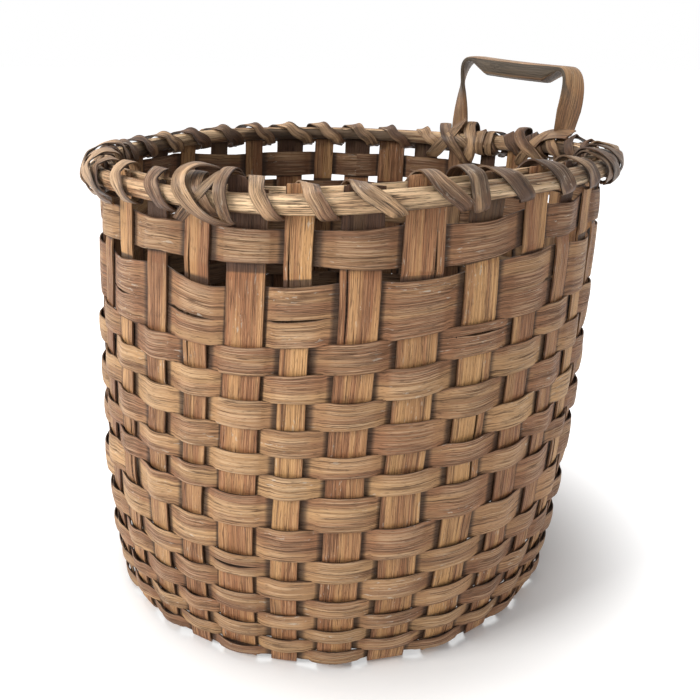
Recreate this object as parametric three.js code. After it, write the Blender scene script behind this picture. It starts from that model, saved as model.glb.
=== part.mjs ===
// Splint gathering basket: an open round basket woven from wide flat strips of wood.
// Seventeen long splints run up one wall, across the base and up the opposite wall.
// Seventeen closed weavers go round them, over one upright and under the next.
// Two hoops clamp the top, a lashing binds them, and one carved ear handle is tied in at the back.
// Lengths are millimetres, Z is up and the front faces -Y.
// A bearing is an angle in degrees round the basket, from the front toward +X.
import * as THREE from 'three';

// Driving dimensions of the wall: the belly swells past the mouth and the foot draws in from it
const mouthRadius = 200;
const bellySwell = 5;
const footDraw = 4;
const bellyShare = 0.42;
const turnRadius = 6;

// The lean of the body to one side, and the dip and rise of its rim
const lean = 16;
const rimTilt = 5;
const rimSaddle = 5;

// Stock and clearance
const splintThickness = 1.3;
const weaverThickness = 1.2;
const lashThickness = 1.1;
const lashWidth = 9;
const fit = 0.3;
const lashGap = 0.45;

// Front splints from left to right: bearings of their front and back ends, and widths
const frontBearings = [
  [-40.1, 221.8], [-30.2, 210.2], [-20, 198.8], [-9.5, 188.1], [1.7, 177.9],
  [13.2, 167.2], [25.5, 156.5], [36.9, 146], [47.4, 136],
];
const frontWidths = [19, 18.5, 28, 19.5, 26.5, 28, 25, 21, 17];

// Side splints from front to back: bearings of their left and right ends, and widths
const sideBearings = [
  [-51, 57.5], [-61.8, 67.3], [-72.7, 77.2], [-83.6, 87],
  [-94.4, 96.9], [-105.3, 106.8], [-116.2, 116.6], [-127.2, 126.5],
];
const sideWidths = [18, 20, 24, 19, 26, 20, 22, 18];

// Short fillers of the base: first and last splint crossed; their widths fill the room that is left
const fillers = {
  front: { first: 2, last: 6 },
  back: { first: 2, last: 6 },
  left: { first: 2, last: 5 },
  right: { first: 2, last: 4 },
};
const fillerTail = 5;
const fillerClearance = 3.4;

// Weavers from the top down, with one open band under the first
const rowWidths = [24, 41, 19, 19, 19, 19, 15, 15.5, 25, 24.5, 17, 16, 14.5, 11.5, 10.5, 10, 8.5];
const windowHeight = 8.5;
const rowGap = 0.8;
const knotRows = [15, 12, 9, 5, 2];

// How far a weaver or a crossing strip stays flat past the strip that it crosses
const shoulder = 2;

// Rim: the inner hoop stands a little higher, and the upright tops show above the hoops
const rimLift = 11;
const hoopHeight = 12.5;
const outerHoopThickness = 8;
const innerHoopThickness = 7;
const innerLift = 3;
const uprightRise = 2;
const hoopSteps = 48;
const hoopRound = 3.6;
const lashRound = 3;
const lashCrest = 4;
const lashDraw = 0.4;

// Handle: its feet stand at the back end of the eighth front splint and of the sixth side splint
const handleBearings = [frontBearings[7][1], sideBearings[5][1]];
const legWidth = 17;
const legThickness = 3;
const legTipWidth = 10;
const legTaper = 12;
const legRows = 4;
const bowHold = 12;
const bowSpread = 30;
const strapWidth = 21;
const strapThickness = 4;
const handleRise = 79;
const handleDrop = 16;
const handleOverhangs = { left: 3, right: 8 };
const leftCorner = { leg: 28, bar: 20 };
const rightCorner = { bar: 15, leg: 34 };
const gripDepth = 15;
const gripBevel = 6.5;
const gripInset = 1;
const gripRamps = { left: 18, right: 16 };
const strapEdge = 0.7;

// The strap twists most in the left corner and below the right one
const leftLegTwist = 0.55;
const leftTwistDelay = 1.1;
const rightCornerTwist = 0.4;
const rightTwistDelay = 4;

// The front end of this splint has an X lashing of its own, as the two legs have
const crossedBearing = frontBearings[1][0];

const halfTurn = 180;
const fullTurn = 2 * halfTurn;
const degree = Math.PI / halfTurn;
const up = new THREE.Vector3(0, 0, 1);

const withWidths = (bearings, widths) => bearings.map(([first, second], index) => (
  { first, second, width: widths[index] }
));
const frontSplints = withWidths(frontBearings, frontWidths);
const sideSplints = withWidths(sideBearings, sideWidths);

// Directions at a bearing: outward from the axis, and along the wall
const outward = (bearing) => new THREE.Vector3(Math.sin(bearing * degree), -Math.cos(bearing * degree), 0);
const along = (bearing) => new THREE.Vector3(Math.cos(bearing * degree), Math.sin(bearing * degree), 0);

// Base levels: strips lie half a stack above or below the middle of the weave
const layer = (splintThickness + fit) / 2;
const baseMiddle = splintThickness / 2 + layer;
const turnTop = baseMiddle + turnRadius;

// Heights of the rows, stacked from the lowest one up
const stackHeight = rowWidths.reduce((sum, width) => sum + width + rowGap, windowHeight - rowGap);
const wallTop = turnTop + stackHeight;
const rows = [];
let edge = wallTop;
for (const [index, width] of rowWidths.entries()) {
  rows.push({ number: index + 1, top: edge, bottom: edge - width });
  edge -= width + (index === 0 ? windowHeight : rowGap);
}

// Rim levels
const hoopBottom = wallTop + rimLift;
const hoopTop = hoopBottom + hoopHeight;
const innerTop = hoopTop + innerLift;
const uprightTop = innerTop + uprightRise;

// The wall swells from the foot to the belly and draws in again at the mouth
const footRadius = mouthRadius - footDraw;
function barrel(height) {
  const belly = turnTop + bellyShare * (wallTop - turnTop);
  const below = height < belly;
  const share = below ? (belly - height) / (belly - turnTop) : (height - belly) / (wallTop - belly);
  const draw = below ? bellySwell + footDraw : bellySwell;
  return mouthRadius + bellySwell - draw * Math.min(share, 1) ** 2;
}

// The uprights bend between rows, so that each weaver lies on a straight stretch
const knots = [turnTop, ...knotRows.map((row) => (rows[row - 1].bottom + rows[row].top) / 2), uprightTop];
function wallRadius(height) {
  let index = 1;
  while (index < knots.length - 1 && height > knots[index]) {
    index += 1;
  }
  const share = (height - knots[index - 1]) / (knots[index] - knots[index - 1]);
  return THREE.MathUtils.lerp(barrel(knots[index - 1]), barrel(knots[index]), share);
}

// An upright is flat across: its edges lie on the wall and its middle lies on their chord
const chordDepth = (radius, width) => Math.sqrt(radius ** 2 - width ** 2 / 4);

// A handmade basket leans and its rim isn't level
function settle(point) {
  const bearing = Math.atan2(point.x, -point.y);
  const share = point.z / wallTop;
  point.x -= lean * (1 - share);
  point.z += share * (rimTilt * Math.sin(bearing) + rimSaddle * Math.sin(2 * bearing));
  return point;
}

// A solid through a list of rings of points, closed on itself or with flat ends.
// Both faces of a strip are split along the same diagonal, so that it keeps its thickness in a twist.
function loft(rings, closed) {
  const sides = rings[0].length;
  const index = [];
  const spans = closed ? rings.length : rings.length - 1;
  for (let span = 0; span < spans; span += 1) {
    const here = span * sides;
    const next = ((span + 1) % rings.length) * sides;
    for (let side = 0; side < sides; side += 1) {
      const other = (side + 1) % sides;
      const quad = [here + side, here + other, next + other, next + side];
      const turn = side < sides / 2 ? 0 : 1;
      const [one, two, three, four] = quad.map((_, corner) => quad[(corner + turn) % 4]);
      index.push(one, two, three, one, three, four);
    }
  }
  if (!closed) {
    const last = (rings.length - 1) * sides;
    for (let side = 1; side < sides - 1; side += 1) {
      index.push(0, side + 1, side);
      index.push(last, last + side, last + side + 1);
    }
  }
  const points = rings.flat().map((point) => settle(point.clone()));
  if (volume(points, index) < 0) {
    index.reverse();
  }
  const geometry = new THREE.BufferGeometry().setFromPoints(points);
  geometry.setIndex(index);
  geometry.computeVertexNormals();
  return geometry;
}

function volume(points, index) {
  let sum = 0;
  const cross = new THREE.Vector3();
  for (let start = 0; start < index.length; start += 3) {
    cross.crossVectors(points[index[start + 1]], points[index[start + 2]]);
    sum += points[index[start]].dot(cross);
  }
  return sum / 6;
}

// The four corners of a flat strip from its two edges and half its thickness as a vector
function stripRing(first, second, half) {
  return [
    first.clone().add(half), second.clone().add(half),
    second.clone().sub(half), first.clone().sub(half),
  ];
}

// Uprights: both ends of every splint, in order round the basket from the front
const uprights = [];
for (const { first, second, width } of [...frontSplints, ...sideSplints]) {
  for (const bearing of [first, second]) {
    const turned = THREE.MathUtils.euclideanModulo(bearing, fullTurn);
    uprights.push({ bearing: turned, stated: bearing, width, leg: handleBearings.includes(bearing) });
  }
}
uprights.sort((one, other) => one.bearing - other.bearing);

// The middle of the open gap after each upright, halfway between the facing edges
const gaps = uprights.map((upright, index) => {
  const next = uprights[(index + 1) % uprights.length];
  const turn = index === uprights.length - 1 ? fullTurn : 0;
  const uneven = (upright.width - next.width) / 4 / mouthRadius / degree;
  return (upright.bearing + next.bearing + turn) / 2 + uneven;
});

// One ring of an upright at a height
function uprightRing(bearing, width, height, flip) {
  const middle = outward(bearing).multiplyScalar(chordDepth(wallRadius(height), width));
  middle.z = height;
  const side = along(bearing).multiplyScalar(flip * width / 2);
  const half = outward(bearing).multiplyScalar(splintThickness / 2);
  return stripRing(middle.clone().add(side), middle.clone().sub(side), half);
}

// Where a strip's edge meets the foot of the wall
function footPoint(bearing, width, flip) {
  return outward(bearing).multiplyScalar(chordDepth(footRadius, width))
    .addScaledVector(along(bearing), flip * width / 2);
}

// A flat strip of the base as its two straight edges, each from start to end
function baseStrip({ first, second, width }) {
  return [
    [footPoint(first, width, 1), footPoint(second, width, -1)],
    [footPoint(first, width, -1), footPoint(second, width, 1)],
  ];
}

// Where one edge line meets a line through two points, in the plane of the base
function meet([start, end], [one, other]) {
  const run = end.clone().sub(start);
  const line = other.clone().sub(one);
  const offset = one.clone().sub(start);
  const share = (offset.x * line.y - offset.y * line.x) / (run.x * line.y - run.y * line.x);
  return start.clone().addScaledVector(run, share);
}

// The two edge lines of a strip, moved apart by the shoulder on each side
function shoulders(strip) {
  const [first, second] = strip;
  const apart = first[0].clone().sub(second[0]).setLength(shoulder);
  return [
    first.map((point) => point.clone().add(apart)),
    second.map((point) => point.clone().sub(apart)),
  ];
}

// Two rings that carry a strip flat over or under a strip that it crosses
function crossingRings(strip, crossed, over) {
  const height = baseMiddle + (over ? layer : -layer);
  const half = up.clone().multiplyScalar(-splintThickness / 2);
  const start = strip[0][0];
  const lines = shoulders(crossed);
  lines.sort((one, other) => meet(strip[0], one).distanceTo(start) - meet(strip[0], other).distanceTo(start));
  return lines.map((line) => {
    const [first, second] = strip.map((side) => meet(side, line).setZ(height));
    return stripRing(first, second, half);
  });
}

// Where an edge of the base reaches a radius, near its start or its end
function radiusPoint([start, end], radius) {
  const run = end.clone().sub(start).normalize();
  const nearest = start.clone().addScaledVector(run, -start.dot(run));
  const reach = Math.sqrt(radius ** 2 - nearest.lengthSq());
  return nearest.addScaledVector(run, -reach);
}

// Rings of the turn from the flat base up to the foot of the wall, listed from the base outward
function turnRings(strip, bearing) {
  return [0, 45].map((angle) => {
    const lift = turnRadius * (1 - Math.cos(angle * degree));
    const radius = footRadius - turnRadius * (1 - Math.sin(angle * degree));
    const half = outward(bearing).multiplyScalar(Math.sin(angle * degree))
      .addScaledVector(up, -Math.cos(angle * degree)).multiplyScalar(splintThickness / 2);
    const [first, second] = strip.map((side) => radiusPoint(side, radius).setZ(baseMiddle + lift));
    return stripRing(first, second, half);
  });
}

// Base strips by their place in the weave; the fillers stand outside the two sets
const span = (count, make) => Array.from({ length: count }, (_, index) => make(index));
const frontStrips = new Map(frontSplints.map((splint, index) => [index, baseStrip(splint)]));
const sideStrips = new Map(sideSplints.map((splint, index) => [index, baseStrip(splint)]));

// A filler runs straight across the splints that it crosses, plus a short tail at each end.
// It fills the room from its neighbour's outer edge to the turn of the wall, less a clearance on both sides.
function fillerStrip({ first, last }, crossed, neighbour, sideways) {
  const [position, across] = sideways ? ['x', 'y'] : ['y', 'x'];
  const corner = (place, distance) => new THREE.Vector3().setComponent(sideways ? 0 : 1, place)
    .setComponent(sideways ? 1 : 0, distance);
  const side = Math.sign(neighbour[0][0][across]);
  const [[start, end]] = [...neighbour].sort((one, other) => side * (other[0][across] - one[0][across]));
  const endsAt = (distance) => {
    const line = [corner(0, distance), corner(1, distance)];
    const places = [first, last].flatMap((index) => (
      shoulders(crossed.get(index)).map((guide) => meet(line, guide)[position])
    ));
    return [Math.min(...places) - fillerTail, Math.max(...places) + fillerTail];
  };
  const edgeAt = (place) => {
    const share = (place - start[position]) / (end[position] - start[position]);
    return side * THREE.MathUtils.lerp(start[across], end[across], share);
  };
  const nearby = endsAt(start[across]);
  const inner = Math.max(...nearby.map(edgeAt)) + fillerClearance;
  const farthest = Math.max(...nearby.map(Math.abs));
  const outer = Math.sqrt((footRadius - turnRadius) ** 2 - farthest ** 2) - fillerClearance;
  const ends = endsAt(side * (inner + outer) / 2);
  return [outer, inner].map((distance) => ends.map((place) => corner(place, side * distance)));
}
const lastFront = frontSplints.length - 1;
const lastSide = sideSplints.length - 1;
sideStrips.set(-1, fillerStrip(fillers.front, frontStrips, sideStrips.get(0), true));
sideStrips.set(lastSide + 1, fillerStrip(fillers.back, frontStrips, sideStrips.get(lastSide), true));
frontStrips.set(-1, fillerStrip(fillers.left, sideStrips, frontStrips.get(0), false));
frontStrips.set(lastFront + 1, fillerStrip(fillers.right, sideStrips, frontStrips.get(lastFront), false));

// Which strips of the other set a splint crosses, in order
function crossedBy(index, count, firstFiller, lastFiller) {
  const list = span(count, (other) => other);
  if (index >= firstFiller.first && index <= firstFiller.last) {
    list.unshift(-1);
  }
  if (index >= lastFiller.first && index <= lastFiller.last) {
    list.push(count);
  }
  return list;
}
const isOver = (front, side) => (front + side) % 2 === 0;

// A whole splint: down one wall, through the turn, across the base and up the other wall
function splint({ first, second, width }, strip, others, overOther) {
  const heights = [...knots].reverse();
  const back = strip.map(([start, end]) => [end, start]);
  return loft([
    ...heights.map((height) => uprightRing(first, width, height, 1)),
    ...turnRings(strip, first).reverse(),
    ...others.flatMap(([crossed, other]) => crossingRings(strip, crossed, overOther(other))),
    ...turnRings(back, second),
    ...heights.reverse().map((height) => uprightRing(second, width, height, -1)),
  ], false);
}

function filler(strip, others, overOther) {
  const half = up.clone().multiplyScalar(-splintThickness / 2);
  const tail = (end, over) => {
    const height = baseMiddle + (over ? layer : -layer);
    return stripRing(strip[0][end].clone().setZ(height), strip[1][end].clone().setZ(height), half);
  };
  return loft([
    tail(0, overOther(others[0][1])),
    ...others.flatMap(([crossed, other]) => crossingRings(strip, crossed, overOther(other))),
    tail(1, overOther(others.at(-1)[1])),
  ], false);
}

// A weaver goes flat outside one upright and flat inside the next
const legBottom = rows[legRows].top;
function weaver(row) {
  const rings = uprights.flatMap((upright, index) => {
    const outside = (index + row.number) % 2 === 1;
    const stack = splintThickness / 2 + fit + weaverThickness / 2;
    const behindLeg = upright.leg && !outside && row.number <= legRows;
    const offset = outside ? stack : -stack - (behindLeg ? legThickness + fit : 0);
    const half = outward(upright.bearing).multiplyScalar(weaverThickness / 2);
    return [-1, 1].map((flip) => {
      const side = along(upright.bearing).multiplyScalar(flip * (upright.width / 2 + shoulder));
      const [high, low] = [row.top, row.bottom].map((height) => {
        const depth = chordDepth(wallRadius(height), upright.width) + offset;
        return outward(upright.bearing).multiplyScalar(depth).add(side).setZ(height);
      });
      return stripRing(high, low, half);
    });
  });
  return loft(rings, true);
}

// Hoops: the outer one is rounded outside and the inner one is rounded inside
const polygonShare = Math.cos(Math.PI / hoopSteps);
const rimRadius = wallRadius(hoopBottom);
const widest = Math.max(...uprights.map((upright) => upright.width));
const outerSeat = (rimRadius + splintThickness / 2 + fit) / polygonShare;
const outerFace = outerSeat + outerHoopThickness;
const innerSeat = chordDepth(wallRadius(uprightTop), widest) - splintThickness / 2 - fit;
const innerFace = innerSeat - innerHoopThickness;

// The inner hoop bows inward round the two legs of the handle, in straight runs between its steps
function bowAtStep(step) {
  const bearing = step * fullTurn / hoopSteps;
  return handleBearings.reduce((deepest, foot) => {
    const turn = Math.abs(THREE.MathUtils.euclideanModulo(bearing - foot + halfTurn, fullTurn) - halfTurn);
    const share = THREE.MathUtils.clamp((turn - bowHold) / bowSpread, 0, 1);
    return Math.max(deepest, (legThickness + fit) * (1 + Math.cos(Math.PI * share)) / 2);
  }, 0);
}

function bow(bearing) {
  const step = bearing * hoopSteps / fullTurn;
  const lower = Math.floor(step);
  return THREE.MathUtils.lerp(bowAtStep(lower), bowAtStep(lower + 1), step - lower);
}

function hoop(seat, thickness, top, follow) {
  const face = seat + thickness;
  const round = Math.sign(thickness) * hoopRound;
  const bottom = top - hoopHeight;
  const profile = [
    [seat, bottom], [seat, top], [face - round, top],
    [face, top - hoopRound], [face, bottom + hoopRound], [face - round, bottom],
  ];
  return loft(span(hoopSteps, (step) => {
    const bearing = step * fullTurn / hoopSteps;
    const shift = follow ? bow(bearing) : 0;
    return profile.map(([radius, height]) => outward(bearing).multiplyScalar(radius - shift).setZ(height));
  }), true);
}

// The loop that a lashing makes round the rim and over the upright tops, at a distance from them
function loopPoints(distance, bearing) {
  const outside = outerFace + distance;
  const inside = innerFace * polygonShare - bow(bearing) - distance;
  const round = lashRound - lashDraw * distance;
  const crest = lashCrest + lashDraw * distance;
  return {
    outBottom: [outside, hoopBottom - distance],
    outShoulder: [outside, hoopTop - round],
    outTop: [rimRadius + crest, uprightTop + distance],
    inTop: [rimRadius - crest - bow(bearing), uprightTop + distance],
    inShoulder: [inside, innerTop - round],
    inBottom: [inside, hoopBottom - distance],
    middle: [rimRadius, hoopBottom - distance],
  };
}

function lashRing(place, bearing, distance) {
  const side = along(bearing).multiplyScalar(lashWidth / 2);
  const [near, far] = [distance, distance + lashThickness].map((offset) => {
    const [radius, height] = loopPoints(offset, bearing)[place];
    return outward(bearing).multiplyScalar(radius).setZ(height);
  });
  return [
    near.clone().sub(side), near.clone().add(side),
    far.clone().add(side), far.clone().sub(side),
  ];
}

// How far round to the next gap a wrap has come at each place of its loop
const plainWrap = {
  outBottom: 0, outShoulder: 0.34, outTop: 0.42, inTop: 0.62, inShoulder: 0.7, inBottom: 1,
};
const legWrap = {
  outBottom: 0, outShoulder: 0.03, outTop: 0.04, inTop: 0.05, inShoulder: 0.1, inBottom: 1,
};

function wrapRings(from, to, shares, distance) {
  return Object.entries(shares).map(([place, share]) => (
    lashRing(place, THREE.MathUtils.lerp(from, to, share), distance)
  ));
}

// A lashing strip wraps the rim once in every gap and moves on against the bearings
const lashRings = [];
function lashing(startGap, wraps) {
  const rings = [];
  const gapAt = (index) => {
    const turns = Math.floor(index / gaps.length);
    return gaps[index - turns * gaps.length] + turns * fullTurn;
  };
  for (let wrap = 0; wrap < wraps; wrap += 1) {
    const index = startGap - wrap;
    const upright = uprights[THREE.MathUtils.euclideanModulo(index, uprights.length)];
    rings.push(...wrapRings(gapAt(index), gapAt(index - 1), upright.leg ? legWrap : plainWrap, fit));
  }
  lashRings.push(rings);
  return loft(rings, false);
}

// A cross lash goes the other way over one wrap and makes an X with it
function crossLash(index) {
  const from = gaps[THREE.MathUtils.euclideanModulo(index - 1, gaps.length)];
  const to = gaps[index];
  const distance = fit + lashThickness + lashGap;
  const shares = { middle: 0, ...(uprights[index].leg ? legWrap : plainWrap) };
  return loft([...wrapRings(from, to, shares, distance), lashRing('middle', to, distance)], false);
}

// The least gap between a lashing's turns, measured on the corners of its rings
function leastGap(rings) {
  const perWrap = Object.keys(plainWrap).length;
  let least = Infinity;
  for (let one = 0; one < rings.length; one += 1) {
    for (let other = one + perWrap - 1; other < rings.length; other += 1) {
      for (const point of rings[one]) {
        for (const far of rings[other]) {
          least = Math.min(least, point.distanceTo(far));
        }
      }
    }
  }
  return least;
}

// Handle: where a leg lies against the inner side of its upright
function legCentre(bearing, height) {
  const upright = uprights.find((one) => one.stated === bearing);
  const depth = chordDepth(wallRadius(Math.min(height, uprightTop)), upright.width)
    - splintThickness / 2 - fit - legThickness / 2;
  return outward(bearing).multiplyScalar(depth).setZ(height);
}

// A ring of the handle: flat strap with small bevels, and wide bevels under the grip
function strapRing(centre, across, normal, width, thickness, depth, bevel) {
  const half = width / 2;
  const high = thickness / 2;
  const low = high - depth;
  const profile = [
    [-half, high - strapEdge], [-half + strapEdge, high], [half - strapEdge, high], [half, high - strapEdge],
    [half, low + bevel], [half - bevel, low], [-half + bevel, low], [-half, low + bevel],
  ];
  return profile.map(([side, rise]) => (
    centre.clone().addScaledVector(across, side).addScaledVector(normal, rise)
  ));
}

function handle() {
  const [left, right] = handleBearings;
  const clear = uprightTop + fit;
  const feet = handleBearings.map((bearing) => legCentre(bearing, clear));
  const chord = feet[1].clone().sub(feet[0]);
  const length = chord.length();
  chord.normalize();
  const top = hoopTop + handleRise - strapThickness / 2;
  const spot = (distance, height) => feet[0].clone().addScaledVector(chord, distance).setZ(height);
  const corners = [
    spot(-handleOverhangs.left, top), spot(length + handleOverhangs.right, top - handleDrop),
  ];
  const bar = corners[1].clone().sub(corners[0]);

  // The path bends round each corner between the leg and the bar
  const toward = (from, goal, distance) => from.clone().add(goal.clone().sub(from).setLength(distance));
  const leftStart = toward(corners[0], feet[0], leftCorner.leg);
  const leftEnd = toward(corners[0], corners[1], leftCorner.bar);
  const rightStart = toward(corners[1], corners[0], rightCorner.bar);
  const rightEnd = toward(corners[1], feet[1], rightCorner.leg);
  const leftBend = new THREE.QuadraticBezierCurve3(leftStart, corners[0], leftEnd);
  const rightBend = new THREE.QuadraticBezierCurve3(rightStart, corners[1], rightEnd);

  // The strap twists from lying along the wall to lying across the bar
  const barTurn = (left + right - halfTurn) / 2;
  const leftTurn = (share) => THREE.MathUtils.lerp(left, barTurn, share);
  const rightTurn = (share) => THREE.MathUtils.lerp(barTurn, right - halfTurn, share);
  const rings = [];
  const add = (centre, travel, turn, width, depth, bevel) => {
    const way = travel.clone().normalize();
    const across = new THREE.Vector3(Math.cos(turn * degree), Math.sin(turn * degree), 0);
    across.addScaledVector(way, -across.dot(way)).normalize();
    const normal = way.cross(across);
    rings.push(strapRing(centre, across, normal, width, Math.min(depth, strapThickness), depth, bevel));
  };
  const legHeights = [legBottom, legBottom + legTaper, rows[1].top, wallTop, clear];
  const leg = (bearing, travel, turn) => legHeights.map((height, index) => () => {
    const width = index === 0 ? legTipWidth : legWidth;
    add(legCentre(bearing, height), travel, turn, width, legThickness, strapEdge);
  });
  const steps = [0.2, 0.4, 0.6, 0.8, 1];
  const grow = (share) => THREE.MathUtils.lerp(legWidth, strapWidth, share);
  const thicken = (share) => THREE.MathUtils.lerp(legThickness, strapThickness, share);

  leg(left, up, left).forEach((place) => place());
  const rise = leftStart.clone().sub(feet[0]);
  for (const share of steps) {
    const centre = feet[0].clone().addScaledVector(rise, share);
    const turn = leftTurn(leftLegTwist * share ** leftTwistDelay);
    add(centre, rise, turn, grow(share), thicken(share), strapEdge);
  }
  for (const share of steps) {
    const turn = leftTurn(THREE.MathUtils.lerp(leftLegTwist, 1, share));
    add(leftBend.getPoint(share), leftBend.getTangent(share), turn, strapWidth, strapThickness, strapEdge);
  }
  const gripStart = leftCorner.bar + gripInset;
  const gripEnd = bar.length() - rightCorner.bar - gripInset;
  const gripPlaces = [
    [gripStart, strapThickness, strapEdge], [gripStart + gripRamps.left, gripDepth, gripBevel],
    [gripEnd - gripRamps.right, gripDepth, gripBevel], [gripEnd, strapThickness, strapEdge],
  ];
  for (const [distance, depth, bevel] of gripPlaces) {
    const centre = corners[0].clone().addScaledVector(bar, distance / bar.length());
    add(centre, bar, barTurn, strapWidth, depth, bevel);
  }
  for (const share of [0, ...steps]) {
    const turn = rightTurn(rightCornerTwist * share ** 2);
    add(rightBend.getPoint(share), rightBend.getTangent(share), turn, strapWidth, strapThickness, strapEdge);
  }
  const fall = feet[1].clone().sub(rightEnd);
  for (const share of steps.slice(0, -1)) {
    const centre = rightEnd.clone().addScaledVector(fall, share);
    const turn = rightTurn(THREE.MathUtils.lerp(rightCornerTwist, 1, share ** rightTwistDelay));
    add(centre, fall, turn, grow(1 - share), thicken(1 - share), strapEdge);
  }
  const down = up.clone().negate();
  leg(right, down, right - halfTurn).reverse().forEach((place) => place());
  return loft(rings, false);
}

// Each sub-part has its own mesh and its own material
const basket = new THREE.Group();
function add(name, geometry, color, roughness) {
  const mesh = new THREE.Mesh(geometry, new THREE.MeshStandardMaterial({ color, roughness, metalness: 0 }));
  mesh.name = name;
  basket.add(mesh);
}
const pad = (number) => String(number).padStart(2, '0');

for (const [index, values] of frontSplints.entries()) {
  const others = crossedBy(index, sideSplints.length, fillers.front, fillers.back)
    .map((other) => [sideStrips.get(other), other]);
  const shape = splint(values, frontStrips.get(index), others, (other) => isOver(index, other));
  add(`splint_front_${pad(index + 1)}`, shape, 0x9a6a44, 0.8);
}
for (const [index, values] of sideSplints.entries()) {
  const others = crossedBy(index, frontSplints.length, fillers.left, fillers.right)
    .map((other) => [frontStrips.get(other), other]);
  const shape = splint(values, sideStrips.get(index), others, (other) => !isOver(other, index));
  add(`splint_side_${pad(index + 1)}`, shape, 0x956641, 0.8);
}

for (const [name, place] of [['front', -1], ['back', sideSplints.length]]) {
  const { first, last } = fillers[name];
  const others = span(last - first + 1, (step) => [frontStrips.get(first + step), first + step]);
  const shape = filler(sideStrips.get(place), others, (other) => !isOver(other, place));
  add(`filler_${name}`, shape, 0x8f6240, 0.82);
}
for (const [name, place] of [['left', -1], ['right', frontSplints.length]]) {
  const { first, last } = fillers[name];
  const others = span(last - first + 1, (step) => [sideStrips.get(first + step), first + step]);
  const shape = filler(frontStrips.get(place), others, (other) => isOver(place, other));
  add(`filler_${name}`, shape, 0x8f6240, 0.82);
}

for (const row of rows) {
  add(`weaver_${pad(row.number)}`, weaver(row), 0xa27a55, 0.82);
}

add('hoop_outer', hoop(outerSeat, outerHoopThickness, hoopTop, false), 0xa58258, 0.75);
add('hoop_inner', hoop(innerSeat, -innerHoopThickness, innerTop, true), 0x9c7a52, 0.75);

const half = uprights.length / 2;
add('lashing_right', lashing(half, half), 0x8a7256, 0.8);
add('lashing_left', lashing(uprights.length, half), 0x8a7256, 0.8);
for (const rings of lashRings) {
  console.log(`least gap between the turns of a lashing: ${leastGap(rings).toFixed(2)} mm`);
}
const crossed = { left_leg: handleBearings[0], right_leg: handleBearings[1], front: crossedBearing };
for (const [name, bearing] of Object.entries(crossed)) {
  const index = uprights.findIndex((one) => one.stated === bearing);
  add(`cross_lash_${name}`, crossLash(index), 0x927a5c, 0.8);
}
add('handle', handle(), 0xb08a58, 0.6);

// The origin is under the middle of the whole basket, on the ground
const part = new THREE.Group();
const box = new THREE.Box3().setFromObject(basket);
const middle = box.getCenter(new THREE.Vector3());
basket.position.set(-middle.x, -middle.y, 0);
part.add(basket);

export default part;
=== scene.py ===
import math

import bpy
import numpy as np
from mathutils import Matrix, Vector


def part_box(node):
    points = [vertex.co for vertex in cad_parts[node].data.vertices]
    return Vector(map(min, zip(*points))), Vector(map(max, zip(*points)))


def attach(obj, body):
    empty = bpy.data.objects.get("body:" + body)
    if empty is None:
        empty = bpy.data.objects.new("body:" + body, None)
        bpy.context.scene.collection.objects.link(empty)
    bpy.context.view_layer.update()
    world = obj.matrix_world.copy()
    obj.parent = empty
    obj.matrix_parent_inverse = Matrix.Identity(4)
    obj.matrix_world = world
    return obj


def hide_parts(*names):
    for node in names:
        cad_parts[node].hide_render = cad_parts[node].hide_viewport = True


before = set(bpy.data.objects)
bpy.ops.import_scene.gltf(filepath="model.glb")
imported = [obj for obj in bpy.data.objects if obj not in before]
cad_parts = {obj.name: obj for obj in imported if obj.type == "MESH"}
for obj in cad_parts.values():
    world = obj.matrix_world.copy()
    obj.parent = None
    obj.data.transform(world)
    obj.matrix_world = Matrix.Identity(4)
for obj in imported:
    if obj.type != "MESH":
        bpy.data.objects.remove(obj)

# The studio: a pale floor, a white surround and soft lamps, the key one at the front left.
# The camera looks down over the rim from the front, at the height and tilt of the photograph.
scene = bpy.context.scene
scene.view_settings.view_transform = "Standard"
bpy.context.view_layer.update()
rim_low, rim_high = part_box("hoop_outer")
axis_x = (rim_low.x + rim_high.x) / 2
axis_y = (rim_low.y + rim_high.y) / 2

camera_distance = 0.6808
camera_height = 0.4352
camera_tilt = 20.25
camera_roll = 0.34
camera = bpy.data.objects.new("camera", bpy.data.cameras.new("camera"))
camera.data.lens = 41.04
camera.data.sensor_width = 36
tilted = Matrix.Rotation(math.radians(90 - camera_tilt), 4, "X")
rolled = Matrix.Rotation(math.radians(camera_roll), 4, "Z")
stand = Matrix.Translation((axis_x, axis_y - camera_distance, camera_height))
camera.matrix_world = stand @ (tilted @ rolled)
scene.collection.objects.link(camera)
scene.camera = camera


def lamp(name, place, target, size, power, colour):
    """A soft square lamp that points at a target."""
    light = bpy.data.lights.new(name, "AREA")
    light.size = size
    light.energy = power
    light.color = colour
    holder = bpy.data.objects.new(name, light)
    aim = (Vector(target) - Vector(place)).to_track_quat("-Z", "Y")
    holder.matrix_world = Matrix.Translation(place) @ aim.to_matrix().to_4x4()
    scene.collection.objects.link(holder)


lamp("key lamp", (-1.85, -1.05, 1.3), (0, 0, 0.2), 0.9, 40, (1, 0.985, 0.96))
lamp("top lamp", (-0.3, 0.3, 2.2), (0, 0, 0.3), 1.4, 24, (1, 1, 1))
lamp("front lamp", (0.5, -2.3, 0.9), (0, 0, 0.15), 1.4, 11, (1, 1, 1))


def plug(tree, socket, term):
    """Link a socket to another one, or set its value."""
    if isinstance(term, bpy.types.NodeSocket):
        tree.links.new(term, socket)
    elif term is not None:
        socket.default_value = term


def value(tree, operation, *terms):
    """A sum, product or other figure from one or two terms."""
    made = tree.nodes.new("ShaderNodeMath")
    made.operation = operation
    for socket, term in zip(made.inputs, terms):
        plug(tree, socket, term)
    return made.outputs[0]


def plus(tree, one, other):
    return value(tree, "ADD", one, other)


def times(tree, one, other):
    return value(tree, "MULTIPLY", one, other)


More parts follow.
